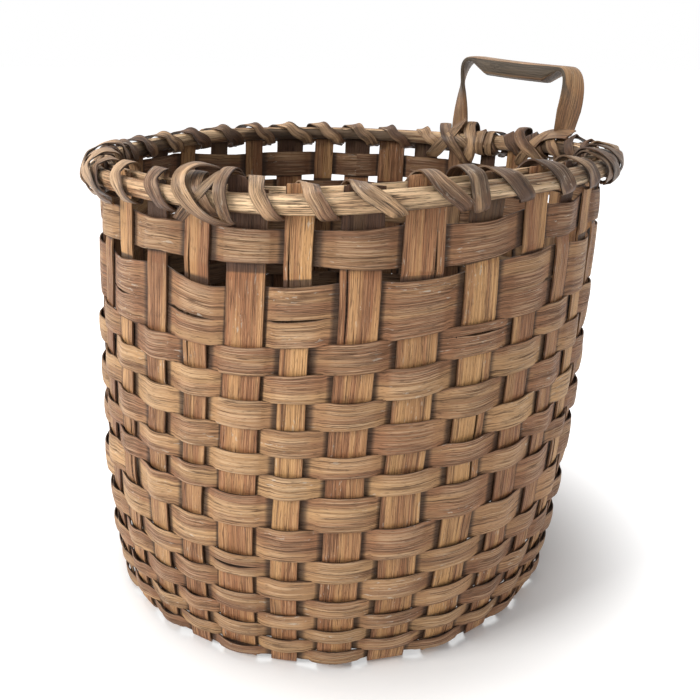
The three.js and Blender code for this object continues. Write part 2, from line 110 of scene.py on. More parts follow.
def vector(tree, operation, *terms):
    """The results of a vector operation: a place or way at 0, and a plain figure at Value."""
    made = tree.nodes.new("ShaderNodeVectorMath")
    made.operation = operation
    for socket, term in zip(made.inputs, terms):
        plug(tree, socket, term)
    return made.outputs


def between(tree, term, low, high, start=0.0, end=1.0):
    """A smooth step from start at low to end at high."""
    made = tree.nodes.new("ShaderNodeMapRange")
    made.interpolation_type = "SMOOTHSTEP"
    for socket, limit in zip(made.inputs, (term, low, high, start, end)):
        plug(tree, socket, limit)
    return made.outputs[0]


def blend(tree, share, one, other, way="MIX"):
    """One colour that gives way to another by a share from 0 to 1."""
    made = tree.nodes.new("ShaderNodeMix")
    made.data_type = "RGBA"
    made.blend_type = way
    for index, term in ((0, share), (6, one), (7, other)):
        plug(tree, made.inputs[index], term)
    return made.outputs[2]


def seen_white(tree, socket, seen, unseen):
    """Feed a socket with one colour for camera, glossy and glass rays and another for the light itself."""
    rays = tree.nodes.new("ShaderNodeLightPath").outputs
    looked_at = value(tree, "MAXIMUM", rays["Is Camera Ray"], rays["Is Glossy Ray"])
    looked_at = value(tree, "MAXIMUM", looked_at, rays["Is Transmission Ray"])
    tree.links.new(blend(tree, looked_at, unseen, seen), socket)


world = bpy.data.worlds.new("surround")
world.use_nodes = True
surround = world.node_tree.nodes["Background"]
surround.inputs["Strength"].default_value = 1
seen_white(world.node_tree, surround.inputs["Color"], (1, 1, 1, 1), (0.42, 0.42, 0.42, 1))
scene.world = world

bpy.ops.object.select_all(action="DESELECT")
bpy.ops.mesh.primitive_circle_add(vertices=96, radius=30, fill_type="NGON")
floor = bpy.context.object
floor.name = "floor"
paper = bpy.data.materials.new("pale paper floor")
paper.use_nodes = True
sheet_tree = paper.node_tree
surface = sheet_tree.nodes["Principled BSDF"]
surface.inputs["Base Color"].default_value = (0.9, 0.9, 0.9, 1)
surface.inputs["Roughness"].default_value = 0.9
surface.inputs["Specular IOR Level"].default_value = 0.1
surface.inputs["Emission Strength"].default_value = 1

# The paper glows white, but right under the object its emission fades out: a painted shadow
shadow_reach = 0.17
white_reach = 0.34
spot = sheet_tree.nodes.new("ShaderNodeTexCoord").outputs["Object"]
distance = vector(sheet_tree, "DISTANCE", spot, (axis_x, axis_y, 0))["Value"]
floor_glow_and_painted_shadow = between(sheet_tree, distance, shadow_reach, white_reach, 0.02, 0.64)
seen_white(sheet_tree, surface.inputs["Emission Color"], floor_glow_and_painted_shadow, (0, 0, 0, 1))
floor.data.materials.append(paper)

# Long splints: flat strips split from a log, 17 to 28 mm wide and about 1.3 mm thick.
# Each runs down one wall, over and under its neighbours across the base, and up the other wall.
# The wall leans, swells at the belly and dips at the rim. Sizes are in millimetres and bearings in degrees.
MM = 0.001
mouth_radius = 200
belly_swell = 5
foot_draw = 4
belly_share = 0.42
turn_radius = 6
lean = 16
rim_tilt = 5
rim_saddle = 5
splint_thickness = 1.3
fit = 0.3
foot_radius = mouth_radius - foot_draw
belly_radius = mouth_radius + belly_swell

front_splints = [
    (-40.1, 221.8, 19), (-30.2, 210.2, 18.5), (-20, 198.8, 28), (-9.5, 188.1, 19.5), (1.7, 177.9, 26.5),
    (13.2, 167.2, 28), (25.5, 156.5, 25), (36.9, 146, 21), (47.4, 136, 17),
]
side_splints = [
    (-51, 57.5, 18), (-61.8, 67.3, 20), (-72.7, 77.2, 24), (-83.6, 87, 19),
    (-94.4, 96.9, 26), (-105.3, 106.8, 20), (-116.2, 116.6, 22), (-127.2, 126.5, 18),
]
row_widths = [24, 41, 19, 19, 19, 19, 15, 15.5, 25, 24.5, 17, 16, 14.5, 11.5, 10.5, 10, 8.5]
window_height = 8.5
row_gap = 0.8

layer = (splint_thickness + fit) / 2
base_middle = splint_thickness / 2 + layer
turn_top = base_middle + turn_radius
wall_top = turn_top + sum(row_widths) + row_gap * (len(row_widths) - 2) + window_height
row_tops, row_bottoms = [], []
edge = wall_top
for number, width in enumerate(row_widths, 1):
    row_tops.append(edge)
    row_bottoms.append(edge - width)
    edge -= width + (window_height if number == 1 else row_gap)

rim_lift = 11
hoop_height = 12.5
hoop_bottom = wall_top + rim_lift
hoop_top = hoop_bottom + hoop_height
trimmed_rise = 1.5

# How far some uprights stand over the outer hoop, on the side where no lashing goes over them
upright_rises = {28: 4, 29: 4, 30: 4, 31: 4, 32: 9.5, 33: 5.5, 0: 4, 1: 6.5, 2: 3.5, 3: 3.5, 4: 3.5}

uprights = sorted(
    (bearing % 360, width)
    for first, second, width in front_splints + side_splints
    for bearing in (first, second)
)
bearings = np.array([bearing for bearing, _ in uprights])
widths = np.array([width for _, width in uprights])
count = len(uprights)


def wall_radius(height):
    """The barrel shape of the wall, from the foot to the belly and up to the mouth."""
    belly = turn_top + belly_share * (wall_top - turn_top)
    below = np.clip((belly - height) / (belly - turn_top), 0, 1)
    above = np.clip((height - belly) / (wall_top - belly), 0, 1)
    return belly_radius - (belly_swell + foot_draw) * below ** 2 - belly_swell * above ** 2


def settle(points):
    """Lean, tilt and shift points of the wall to where they stand, and turn millimetres into metres."""
    placed = np.array(points, float)
    bearing = np.arctan2(placed[..., 0], -placed[..., 1])
    radius = np.hypot(placed[..., 0], placed[..., 1])
    aside = np.degrees(sideways(np.degrees(bearing), placed[..., 2]) / mouth_radius)
    placed[..., :2] = (outward(np.degrees(bearing) + aside) * radius[..., None])[..., :2]
    height = placed[..., 2].copy()
    share = height / wall_top
    placed[..., 0] -= lean * (1 - share)
    placed[..., 2] += share * (rim_tilt * np.sin(bearing) + rim_saddle * np.sin(2 * bearing))
    placed[..., 2] += drift(np.degrees(bearing), height)
    axis_shift = axis_x - lean * MM * ((hoop_bottom + hoop_height / 2) / wall_top - 1)
    return placed * MM + np.array([axis_shift, axis_y, 0])


def sideways(bearing, height):
    """Uprights at the front don't stand quite upright: how far they lean over toward their tops."""
    places = [-60, -40, -30, -20, -9.5, 0, 13, 26, 37, 48]
    top_lean = np.interp(bearing, places, [0, 2, 4.5, 7, 2, 2.7, 1, 0, 3, 0])
    return top_lean * climb(height, 140, 310) ** 0.8


def climb(height, low, high):
    """How far a height has come from one height to another, from 0 to 1."""
    return np.clip((height - low) / (high - low), 0, 1)


def drift(bearing, height):
    """How far the rim and the upper rows stand above or below an even height."""
    window = climb(height, row_bottoms[0], row_tops[1])

    # At the front the second row hangs down in places and climbs in others, and the rows under it follow
    places = [-120, -70, -50, -38, -27, -15, 0, 9, 20, 32, 42, 54, 90]
    second_top = np.interp(bearing, places, [0, 2, 4, 3.9, -3.7, -3.3, -1.1, -3.5, -3.9, 1.2, 2, 0, 0])
    second_low = np.interp(bearing, places, [0, 0, 0, 0, -2.9, -2, 0, 0.4, 3.7, 2.7, 3.2, 3, 0])
    second = second_low + (second_top - second_low) * climb(height, row_bottoms[1], row_tops[1])
    second = second * climb(height, row_tops[5], row_bottoms[1])

    # At the back the top row and the window wander
    around = bearing % 360
    top_places = [120, 132, 141, 155, 210, 216, 227, 238, 250, 268]
    top_row = np.interp(around, top_places, [0, -4.5, -3, 0, 0, 0.5, 4, 8.5, 8, 0])
    under = np.interp(around, [150, 172, 185, 205, 225, 250], [0, 1.5, 3, 4.5, 6.5, 0])
    wandering = climb(height, hoop_bottom, wall_top) * climb(height, row_tops[6], row_tops[1])
    back = wandering * (top_row * (1 - window) + np.maximum(under, top_row) * window)

    # The rim and the top row stand higher at the front left and sag at the front right
    rim_places = [-120, -90, -50, -40, -30, -22, -11, -5, 13, 30, 45, 65, 100]
    rim = np.interp(bearing, rim_places, [0, 4, 7, 6, 4.1, 2, -0.3, -1.2, -2, -2.3, -3.2, -3.6, 0])
    low_places = [-120, -70, -50, -38, -30, -22, -15, -10, 0, 8, 17, 27, 37, 60]
    low = np.interp(bearing, low_places, [0, 3, 5.5, 8.6, 4.9, 3.8, 3.1, 2, 0, -3, -7, -5, 0, 0])
    front = (rim + (low - rim) * climb(height, hoop_bottom, row_bottoms[0])) * (1 - window)
    return window * second + back + front


def ripple(place, seed, waves=5, spread=4):
    """An uneven line between about -1 and 1, which closes on itself after a whole turn in radians."""
    phases = np.random.default_rng(seed).uniform(0, 2 * np.pi, spread)
    total = sum(np.sin((waves + step) * place + phase) for step, phase in enumerate(phases))
    return total / math.sqrt(spread)


def outward(bearing):
    """The way out from the middle at a bearing, which is 0 at the front and 90 at the right."""
    turn = np.radians(bearing)
    return np.stack([np.sin(turn), -np.cos(turn), 0 * turn], -1)


def sheet(name, points, along, across, marks):
    """A net of faces over points[lane, step] with its own UV map in metres and marks for the material."""
    lanes, steps = points.shape[:2]
    bpy.ops.object.select_all(action="DESELECT")
    bpy.ops.mesh.primitive_grid_add(x_subdivisions=steps - 1, y_subdivisions=lanes - 1, size=1)
    piece = bpy.context.object
    piece.name = name
    mesh = piece.data
    mesh.name = name
    mesh.vertices.foreach_set("co", settle(points).ravel())
    corners = np.empty(len(mesh.loops), int)
    mesh.loops.foreach_get("vertex_index", corners)
    places = np.stack(np.broadcast_arrays(along, across), -1).reshape(-1, 2) * MM
    mesh.uv_layers.active.uv.foreach_set("vector", places[corners].ravel())
    for mark, values in marks.items():
        filled = np.ascontiguousarray(np.broadcast_to(values, (lanes, steps)), dtype=np.float32)
        mesh.attributes.new(mark, "FLOAT", "POINT").data.foreach_set("value", filled.ravel())
    mesh.update()
    return piece


def weld(piece, outside=False):
    """Merge the points that lie on each other, and turn the faces outward if asked."""
    bpy.ops.object.mode_set(mode="EDIT")
    bpy.ops.mesh.select_all(action="SELECT")
    bpy.ops.mesh.remove_doubles(threshold=0.00001)
    if outside:
        bpy.ops.mesh.normals_make_consistent(inside=False)
    bpy.ops.object.mode_set(mode="OBJECT")


def cut_slit(piece, lane, steps):
    """Take away the faces between two lanes, which leaves a split where the lanes stand apart."""
    mesh = piece.data
    bpy.ops.object.mode_set(mode="EDIT")
    bpy.ops.mesh.select_all(action="DESELECT")
    bpy.ops.mesh.select_mode(type="FACE")
    bpy.ops.object.mode_set(mode="OBJECT")
    first = lane * (steps - 1)
    for face in range(first, first + steps - 1):
        mesh.polygons[face].select = True
    bpy.ops.object.mode_set(mode="EDIT")
    bpy.ops.mesh.delete(type="ONLY_FACE")
    bpy.ops.object.mode_set(mode="OBJECT")


def thicken(piece, thickness, edge_round):
    """Give a flat strip its thickness and softly broken edges."""
    solid = piece.modifiers.new("thickness", "SOLIDIFY")
    solid.thickness = thickness * MM
    solid.offset = 0
    bpy.ops.object.modifier_apply(modifier=solid.name)
    bevel = piece.modifiers.new("edges", "BEVEL")
    bevel.width = edge_round * MM
    bevel.segments = 1
    bevel.limit_method = "ANGLE"
    bevel.angle_limit = math.radians(50)
    bpy.ops.object.modifier_apply(modifier=bevel.name)
    bpy.ops.object.shade_smooth_by_angle(angle=math.radians(42))


def dress(piece, node_name, material):
    """The piece stands for its node, rides with the basket and takes its finish."""
    piece.data.materials.append(material)
    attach(piece, "root")
    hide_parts(node_name)


def new_group(name, inputs, outputs):
    """A node group with its tree, its given terms and its results."""
    tree = bpy.data.node_groups.new(name, "ShaderNodeTree")
    for direction, sockets in (("INPUT", inputs), ("OUTPUT", outputs)):
        for socket, kind in sockets.items():
            tree.interface.new_socket(socket, in_out=direction, socket_type=f"NodeSocket{kind}")
    return tree, tree.nodes.new("NodeGroupInput").outputs, tree.nodes.new("NodeGroupOutput").inputs


# Split wood shows long grooves where the soft early wood tore, fine fibres, short dark pores and scuffs
grain, given, result = new_group(
    "split grain",
    {"Place": "Vector", "Groove Scale": "Float", "Fibre Scale": "Float"},
    dict.fromkeys(("Fibre", "Groove", "Pore", "Patch", "Scuff", "Height"), "Float"),
)


def grain_noise(along, across, detail, scale, twist=0.0):
    """Noise drawn out along a strip: its cells per metre along and across, times one of the two scales."""
    sized = vector(grain, "SCALE", given["Place"], None, None, given[scale])[0]
    drawn_out = vector(grain, "MULTIPLY", sized, (along, across, 1.0))[0]
    made = grain.nodes.new("ShaderNodeTexNoise")
    for socket, term in {
        "Vector": drawn_out, "Scale": 1, "Detail": detail, "Roughness": 0.6, "Distortion": twist,
    }.items():
        plug(grain, made.inputs[socket], term)
    return made.outputs["Fac"]


def contour(lines, width, fade):
    """A thin line wherever a noise passes its middle."""
    off_middle = value(grain, "ABSOLUTE", value(grain, "SUBTRACT", lines, 0.5))
    return between(grain, off_middle, width, fade)


coarse = between(grain, grain_noise(9.0, 820.0, 2.0, "Fibre Scale"), 0.34, 0.66)
fine = between(grain, grain_noise(24.0, 1900.0, 2.0, "Fibre Scale"), 0.3, 0.7)
fibre = plus(grain, times(grain, coarse, 0.6), times(grain, fine, 0.4))
patch = grain_noise(3.0, 48.0, 2.0, "Groove Scale", 0.4)
wide_groove = contour(grain_noise(5.0, 300.0, 2.0, "Groove Scale", 0.2), 0.02, 0.006)
fine_groove = contour(grain_noise(9.0, 700.0, 1.0, "Groove Scale", 0.15), 0.03, 0.01)
broken = between(grain, grain_noise(22.0, 160.0, 1.0, "Groove Scale"), 0.4, 0.56)
shown_fine = times(grain, fine_groove, between(grain, patch, 0.4, 0.58))
groove = value(grain, "MAXIMUM", times(grain, wide_groove, broken), times(grain, shown_fine, 0.75))
pore = between(grain, grain_noise(150.0, 1500.0, 1.0, "Fibre Scale"), 0.62, 0.7)
rough_spots = between(grain, grain_noise(120.0, 480.0, 3.0, "Fibre Scale", 0.5), 0.6, 0.68)
scuffed_places = between(grain, grain_noise(16.0, 40.0, 1.0, "Groove Scale"), 0.52, 0.62)
scuff = times(grain, rough_spots, scuffed_places)
raised = times(grain, fibre, 0.5)
sunk = plus(grain, groove, times(grain, pore, 0.35))
for socket, term in {
    "Fibre": fibre, "Groove": groove, "Pore": pore, "Patch": patch, "Scuff": scuff,
    "Height": value(grain, "SUBTRACT", raised, sunk),
}.items():
    grain.links.new(term, result[socket])

# Wear and painted shade: the crowns of the weave are rubbed pale, the crossings and strip edges are painted
# dark as shade with some soiling, and the inner side is painted red and dark as shade
age_and_shade, given, result = new_group(
    "aged wood with painted shade",
    {
        **dict.fromkeys(("Light", "Deep", "Dark", "Worn"), "Color"),
        **dict.fromkeys(("Fibre", "Groove", "Pore", "Patch", "Scuff"), "Float"),
        **dict.fromkeys(("Exposed", "Inner Shade", "Tone", "Warm", "Edge"), "Float"),
    },
    {"Color": "Color", "Roughness": "Float"},
)
warmth = plus(age_and_shade, between(age_and_shade, given["Patch"], 0.36, 0.62), given["Warm"])
warmth = value(age_and_shade, "MINIMUM", value(age_and_shade, "MAXIMUM", warmth, 0.0), 1.0)
body = blend(age_and_shade, warmth, given["Light"], given["Deep"])
streak = plus(age_and_shade, 0.72, times(age_and_shade, given["Fibre"], 0.52))
streak = times(age_and_shade, streak, plus(age_and_shade, 1.0, times(age_and_shade, given["Tone"], 0.22)))
grey = age_and_shade.nodes.new("ShaderNodeCombineXYZ")
for socket in grey.inputs:
    plug(age_and_shade, socket, streak)
body = blend(age_and_shade, 1.0, body, grey.outputs[0], "MULTIPLY")
rubbed = times(age_and_shade, between(age_and_shade, given["Exposed"], 0.5, 1.3), between(age_and_shade, given["Fibre"], 0.4, 0.75))
scuff_colour = (0.62, 0.55, 0.45, 1)
line = blend(age_and_shade, 0.3, given["Dark"], given["Deep"])
# Where a strip runs under its neighbour it is painted dark: painted shade in the recess, with some soiling
recess_shade_and_dirt = between(age_and_shade, given["Exposed"], -0.4, -0.95)
for mask, share, colour in (
    (rubbed, 0.4, given["Worn"]),
    (given["Groove"], 0.85, line),
    (given["Pore"], 0.4, given["Dark"]),
    (given["Scuff"], 0.55, scuff_colour),
    (recess_shade_and_dirt, 0.85, given["Dark"]),
    # Strip edges are painted dark: painted shade with some soiling
    (value(age_and_shade, "POWER", given["Edge"], 2.0), 0.62, given["Dark"]),
    # The inner side is painted dark: painted shade
    (given["Inner Shade"], 1.0, given["Dark"]),
):
    body = blend(age_and_shade, times(age_and_shade, mask, share), body, colour)
age_and_shade.links.new(body, result["Color"])
rough = plus(age_and_shade, 0.5, times(age_and_shade, given["Groove"], 0.2))
rough = plus(age_and_shade, rough, times(age_and_shade, given["Fibre"], 0.16))
age_and_shade.links.new(rough, result["Roughness"])


def wood(name, light, deep, dark, worn, groove_scale=1.0, fibre_scale=1.0, depth=0.5, polish=0.0):
    """A split wood material in four of its own colours."""
    made = bpy.data.materials.new(name)
    made.use_nodes = True
    tree = made.node_tree
    shader = tree.nodes["Principled BSDF"]

    # A face looks out of the basket or into it, told by its normal and its way from the middle
    place = tree.nodes.new("ShaderNodeTexCoord").outputs["Object"]
    away = vector(tree, "SUBTRACT", place, (axis_x, axis_y, wall_top / 2 * MM))[0]
    normal = tree.nodes.new("ShaderNodeNewGeometry").outputs["Normal"]
    facing = vector(tree, "DOT_PRODUCT", vector(tree, "NORMALIZE", away)[0], normal)["Value"]
    inner = between(tree, facing, 0.15, -0.15)
    side = value(tree, "SUBTRACT", 1.0, times(tree, inner, 2.0))
    marks = {}
    for mark in ("lift", "tone", "warm", "edge"):
        attribute = tree.nodes.new("ShaderNodeAttribute")
        attribute.attribute_name = mark
        marks[mark] = attribute.outputs["Fac"]

    # The inner side is painted dark as shade, the darker the deeper it lies in the basket
    parts = tree.nodes.new("ShaderNodeSeparateXYZ")
    tree.links.new(away, parts.inputs[0])
    depth_inside = between(tree, parts.outputs["Z"], 0.145, 0.06)
    inner_shade = times(tree, inner, plus(tree, 0.22, times(tree, depth_inside, 0.5)))

    def use(kind, terms, group=None):
        """A node with its terms, by the names of their sockets."""
        used = tree.nodes.new(kind) if isinstance(kind, str) else kind
        if group:
            used.node_tree = group
        for socket, term in terms.items():
            plug(tree, used.inputs[socket], term)
        return used.outputs

    unwrapped = tree.nodes.new("ShaderNodeUVMap").outputs[0]
    lines = use("ShaderNodeGroup", {
        "Place": unwrapped, "Groove Scale": groove_scale, "Fibre Scale": fibre_scale,
    }, grain)
    coat = use("ShaderNodeGroup", {
        **{socket: lines[socket] for socket in ("Fibre", "Groove", "Pore", "Patch", "Scuff")},
        "Light": (*light, 1), "Deep": (*deep, 1), "Dark": (*dark, 1), "Worn": (*worn, 1),
        "Exposed": times(tree, marks["lift"], side), "Inner Shade": inner_shade,
        "Tone": marks["tone"], "Warm": marks["warm"], "Edge": marks["edge"],
    }, age_and_shade)
    bump = use("ShaderNodeBump", {"Strength": depth, "Distance": 0.0007, "Height": lines["Height"]})
    use(shader, {
        "Normal": bump[0], "Base Color": coat["Color"], "Roughness": coat["Roughness"],
        "Specular IOR Level": 0.35, "Coat Weight": polish, "Coat Roughness": 0.32,
    })
    return made


upright_wood = wood(
    "upright splint wood", (0.5, 0.268, 0.108), (0.33, 0.14, 0.06), (0.034, 0.016, 0.009), (0.62, 0.41, 0.23),
    groove_scale=1.35, fibre_scale=1.1, depth=0.95,
)


def foot_point(bearing, width, flip):
    """Where an edge of a strip meets the foot of the wall."""
    turn = math.radians(bearing)
    depth = math.sqrt(foot_radius ** 2 - width ** 2 / 4)
    side = flip * width / 2
    return np.array([
        math.sin(turn) * depth + math.cos(turn) * side,
        -math.cos(turn) * depth + math.sin(turn) * side,
        0.0,
    ])


def base_strip(first, second, width):
    """A strip of the base as its two straight edges."""
    return [
        [foot_point(first, width, 1), foot_point(second, width, -1)],
        [foot_point(first, width, -1), foot_point(second, width, 1)],
    ]


def meet(line, guide):
    """Where an edge line crosses another line, in the plane of the base."""
    run = line[1] - line[0]
    other = guide[1] - guide[0]
    offset = guide[0] - line[0]
    share = (offset[0] * other[1] - offset[1] * other[0]) / (run[0] * other[1] - run[1] * other[0])
    return line[0] + run * share


def shoulder_lines(strip):
    """The two edge lines of a strip, each moved out by a small shoulder."""
    apart = strip[0][0] - strip[1][0]
    apart = apart / np.linalg.norm(apart) * 2
    return [[point + apart for point in strip[0]], [point - apart for point in strip[1]]]


def crossing(strip, crossed, over):
    """Two stations that carry a strip flat over or under another strip of the base."""
    height = base_middle + (layer if over else -layer)
    start = strip[0][0]
    lines = sorted(shoulder_lines(crossed), key=lambda line: np.linalg.norm(meet(strip[0], line) - start))
    # The lift mark: where the strip lies under the crossed one the wood paints it dark, painted shade with
    # some soiling
    lift = -1.0 if over else 1.0
    return [([meet(side, line) + [0, 0, height] for side in strip], (0, 0, -1.0), lift) for line in lines]


def radius_point(line, radius):
    """Where an edge of the base reaches a radius, near its start."""
    run = (line[1] - line[0]) / np.linalg.norm(line[1] - line[0])
    nearest = line[0] - run * np.dot(line[0], run)
    return nearest - run * math.sqrt(radius ** 2 - np.dot(nearest, nearest))


def turn_stations(strip, bearing):
    """Stations round the bend from the flat base to the foot of the wall."""
    stations = []
    for angle in (0, 18, 36, 54, 72):
        turn = math.radians(angle)
        radius = foot_radius - turn_radius * (1 - math.sin(turn))
        height = base_middle + turn_radius * (1 - math.cos(turn))
        normal = outward(bearing) * math.sin(turn) - np.array([0, 0, math.cos(turn)])
        stations.append(([radius_point(side, radius) + [0, 0, height] for side in strip], normal, 0.2))
    return stations


def smooth(share):
    """A share from 0 to 1 that starts and ends softly."""
    return share * share * (3 - 2 * share)


def fill(stations, steps=4):
    """Add stations between the given ones, so that heights change softly along a strip."""
    filled = []
    for (edges, normal, lift), (next_edges, next_normal, next_lift) in zip(stations, stations[1:]):
        for step in range(steps):
            share = step / steps
            soft = smooth(share)
            ends = []
            for here, there in zip(edges, next_edges):
                point = here + (there - here) * share
                point[2] = here[2] + (there[2] - here[2]) * soft
                ends.append(point)
            mixed = np.array(normal) * (1 - share) + np.array(next_normal) * share
            filled.append((ends, mixed / np.linalg.norm(mixed), lift + (next_lift - lift) * soft))
    return filled + [stations[-1]]


row_change = 4.4
wall_steps = 104


def weave_state(height, index):
    """How an upright is pushed by the rows: 1 where it stands in front of a row and -1 where it is behind."""
    signs = [-1.0 if (index + number) % 2 == 1 else 1.0 for number in range(1, len(row_widths) + 1)]
    breaks = [(bottom + top) / 2 for bottom, top in zip(row_bottoms, row_tops[1:])]
    state = np.full_like(height, signs[0])
    for place, sign, before in zip(breaks, signs[1:], signs):
        state += (sign - before) * smooth(np.clip((place - height) / row_change + 0.5, 0, 1))
    return state


def upright_at(bearing):
    return int(np.argmin(np.abs((bearings - bearing + 180) % 360 - 180)))


def wall_stations(bearing, width, flip):
    """Stations of an upright from its top down to the foot of the wall."""
    index = upright_at(bearing)
    heights = np.linspace(hoop_top + upright_rises.get(index, trimmed_rise), turn_top, wall_steps)
    # The state also becomes the lift mark: where the upright goes behind a row the wood paints it dark,
    # painted shade with some soiling
    state = weave_state(heights, index)
    out = 0.35 * state + 0.35 * ripple(heights / 70, 40 + index)
    out = np.where(heights > wall_top, out * np.clip((hoop_bottom - heights) / rim_lift, 0, 1), out)
    sway = 0.8 * ripple(heights / 95, 90 + index, 2, 3) * np.clip((hoop_top - heights) / 60, 0, 1)
    spread = 1 + 0.02 * ripple(heights / 60, 140 + index, 2, 3)
    stations = []
    for height, push, shift, scale, mark in zip(heights, out, sway, spread, state):
        radius = wall_radius(height)
        edges = []
        for hand in (1, -1):
            side = bearing + np.degrees((flip * hand * width / 2 * scale + shift) / radius)
            edges.append(outward(side) * (radius + push) + [0, 0, height])
        stations.append((edges, outward(bearing), mark))
    return stations


def run_length(points):
    """How far each point of a line lies from its start."""
    return np.concatenate([[0], np.cumsum(np.linalg.norm(np.diff(points, axis=0), axis=1))])


strip_crown = 0.1
splint_edge_round = 0.22
trim_steps = 6


def lay_strip(name, stations, width, lanes_at, slit, tone, warm, seed, ends):
    """A long strip through its stations, trimmed at its ends, with a split if it has one."""
    lanes = np.array(lanes_at)
    first = np.array([edges[0] for edges, _, _ in stations])
    second = np.array([edges[1] for edges, _, _ in stations])
    normals = np.array([normal for _, normal, _ in stations])
    lift = np.array([mark for _, _, mark in stations])
    along = run_length((first + second) / 2)
    points = first + (second - first) * lanes[:, None, None]
    bulge = strip_crown * (1 - (2 * lanes[:, None] - 1) ** 2) * np.ones_like(lift)
    points += normals * bulge[..., None]

    # The base rests on the floor and doesn't reach through it
    points[..., 2] = np.maximum(points[..., 2], splint_thickness / 2)
    if ends:
        cuts = [upright_rises.get(upright_at(bearing), trimmed_rise) - trimmed_rise for bearing in ends]
        ragged = np.random.default_rng(seed).uniform(-0.8, 0.8, (2, len(lanes)))
        for step in range(trim_steps):
            fade = 1 - step / trim_steps
            points[:, step, 2] += (ragged[0] - cuts[0] * (lanes < 0.5)) * fade
            points[:, -1 - step, 2] += (ragged[1] - cuts[1] * (lanes > 0.5)) * fade
    if slit:
        lane, opening = slit
        way = (second - first) / np.linalg.norm(second - first, axis=1)[:, None]
        half_open = way * (opening(along) / 2)[:, None]
        points[lane] -= half_open
        points[lane + 1] += half_open
    across = lanes[:, None] * width * np.ones_like(lift)
    marks = {"lift": lift, "tone": tone, "warm": warm, "edge": edge_mark(lanes)[:, None]}
    piece = sheet(name, points, along + 900 * (seed % 37), across + 150 * (seed % 11), marks)
    if slit:
        cut_slit(piece, slit[0], len(stations))
    weld(piece)
    thicken(piece, splint_thickness, splint_edge_round)
    return piece


def edge_mark(lanes):
    """1 at the edges of a strip and beside its split, and 0 on every lane between."""
    torn = np.append(np.diff(lanes) == 0, False)
    return np.where((lanes == lanes[0]) | (lanes == lanes[-1]) | torn | np.roll(torn, 1), 1.0, 0.0)


plain_lanes = [0, 0.05, 0.2, 0.4, 0.6, 0.8, 0.95, 1]

# Splits beside one edge of a splint: the place across, the start and end from the top, and the opening
known_splits = {
    "splint_front_02": (0.8, 26, 132, 1.6),
    "splint_side_01": (0.3, 150, 300, 1.8),
    "splint_front_05": (0.82, 30, 118, 1.2),
    "splint_front_06": (0.2, 24, 100, 1.7),
    "splint_front_07": (0.24, 120, 240, 1.5),
    "splint_side_03": (0.74, 60, 190, 1.4),
    "splint_front_04": (0.8, 20, 96, 1.3),
    "splint_side_06": (0.22, 80, 230, 1.2),
}
split_taper = 40
splint_length = 1030


def splint_slit(name, length):
    """The lanes of an upright and its split, which comes back at its other end."""
    if name not in known_splits:
        return plain_lanes, None
    place, start, end, gap = known_splits[name]

    def opening(along):
        return gap * sum(
            smooth(climb(run, start, start + split_taper)) * smooth(climb(run, end, end - split_taper))
            for run in (along, length - along)
        )

    lanes = sorted([0, 0.05, 0.5, 0.95, 1, place - 0.05, place, place, place + 0.05])
    return lanes, (lanes.index(place), opening)


front_strips = {index: base_strip(*splint) for index, splint in enumerate(front_splints)}
side_strips = {index: base_strip(*splint) for index, splint in enumerate(side_splints)}
filler_clearance = 3.4
filler_tail = 5
filler_crossings = {"front": (2, 6), "back": (2, 6), "left": (2, 5), "right": (2, 4)}


def filler_strip(side, crossed, neighbour):
    """A filler lies midway in the room between the outermost splint and the turn of the wall."""
    first, last = filler_crossings[side]
    spread = 0 if side in ("front", "back") else 1
    depth = 1 - spread
    sign = -1 if side in ("front", "left") else 1

    def point_at(place, reach):
        point = np.zeros(3)
        point[spread] = place
        point[depth] = reach
        return point

    def ends(reach):
        guide = [point_at(0, reach), point_at(1, reach)]
        outermost = shoulder_lines(crossed[first]) + shoulder_lines(crossed[last])
        places = [meet(guide, line)[spread] for line in outermost]
        return min(places) - filler_tail, max(places) + filler_tail

    edge_line = max(neighbour, key=lambda line: sign * (line[0][depth] + line[1][depth]))
    reach = (edge_line[0][depth] + edge_line[1][depth]) / 2
    low, high = ends(reach)
    nearest = []
    for place in (low, high):
        share = (place - edge_line[0][spread]) / (edge_line[1][spread] - edge_line[0][spread])
        nearest.append(sign * (edge_line[0][depth] + share * (edge_line[1][depth] - edge_line[0][depth])))
    inner = max(nearest) + filler_clearance
    outer = math.sqrt((foot_radius - turn_radius) ** 2 - max(abs(low), abs(high)) ** 2) - filler_clearance
    low, high = ends(sign * (inner + outer) / 2)
    corners = [[point_at(place, sign * reach) for place in (low, high)] for reach in (outer, inner)]
    return corners, outer - inner


filler_strips = {
    "front": filler_strip("front", front_strips, side_strips[0]),
    "back": filler_strip("back", front_strips, side_strips[len(side_splints) - 1]),
    "left": filler_strip("left", side_strips, front_strips[0]),
    "right": filler_strip("right", side_strips, front_strips[len(front_splints) - 1]),
}
side_strips[-1] = filler_strips["front"][0]
side_strips[len(side_splints)] = filler_strips["back"][0]
front_strips[-1] = filler_strips["left"][0]
front_strips[len(front_splints)] = filler_strips["right"][0]


def crossed_by(index, total, first_side, last_side):
    """The strips of the other set that a splint crosses, with the fillers it reaches."""
    crossed = list(range(total))
    if filler_crossings[first_side][0] <= index <= filler_crossings[first_side][1]:
        crossed.insert(0, -1)
    if filler_crossings[last_side][0] <= index <= filler_crossings[last_side][1]:
        crossed.append(total)
    return crossed


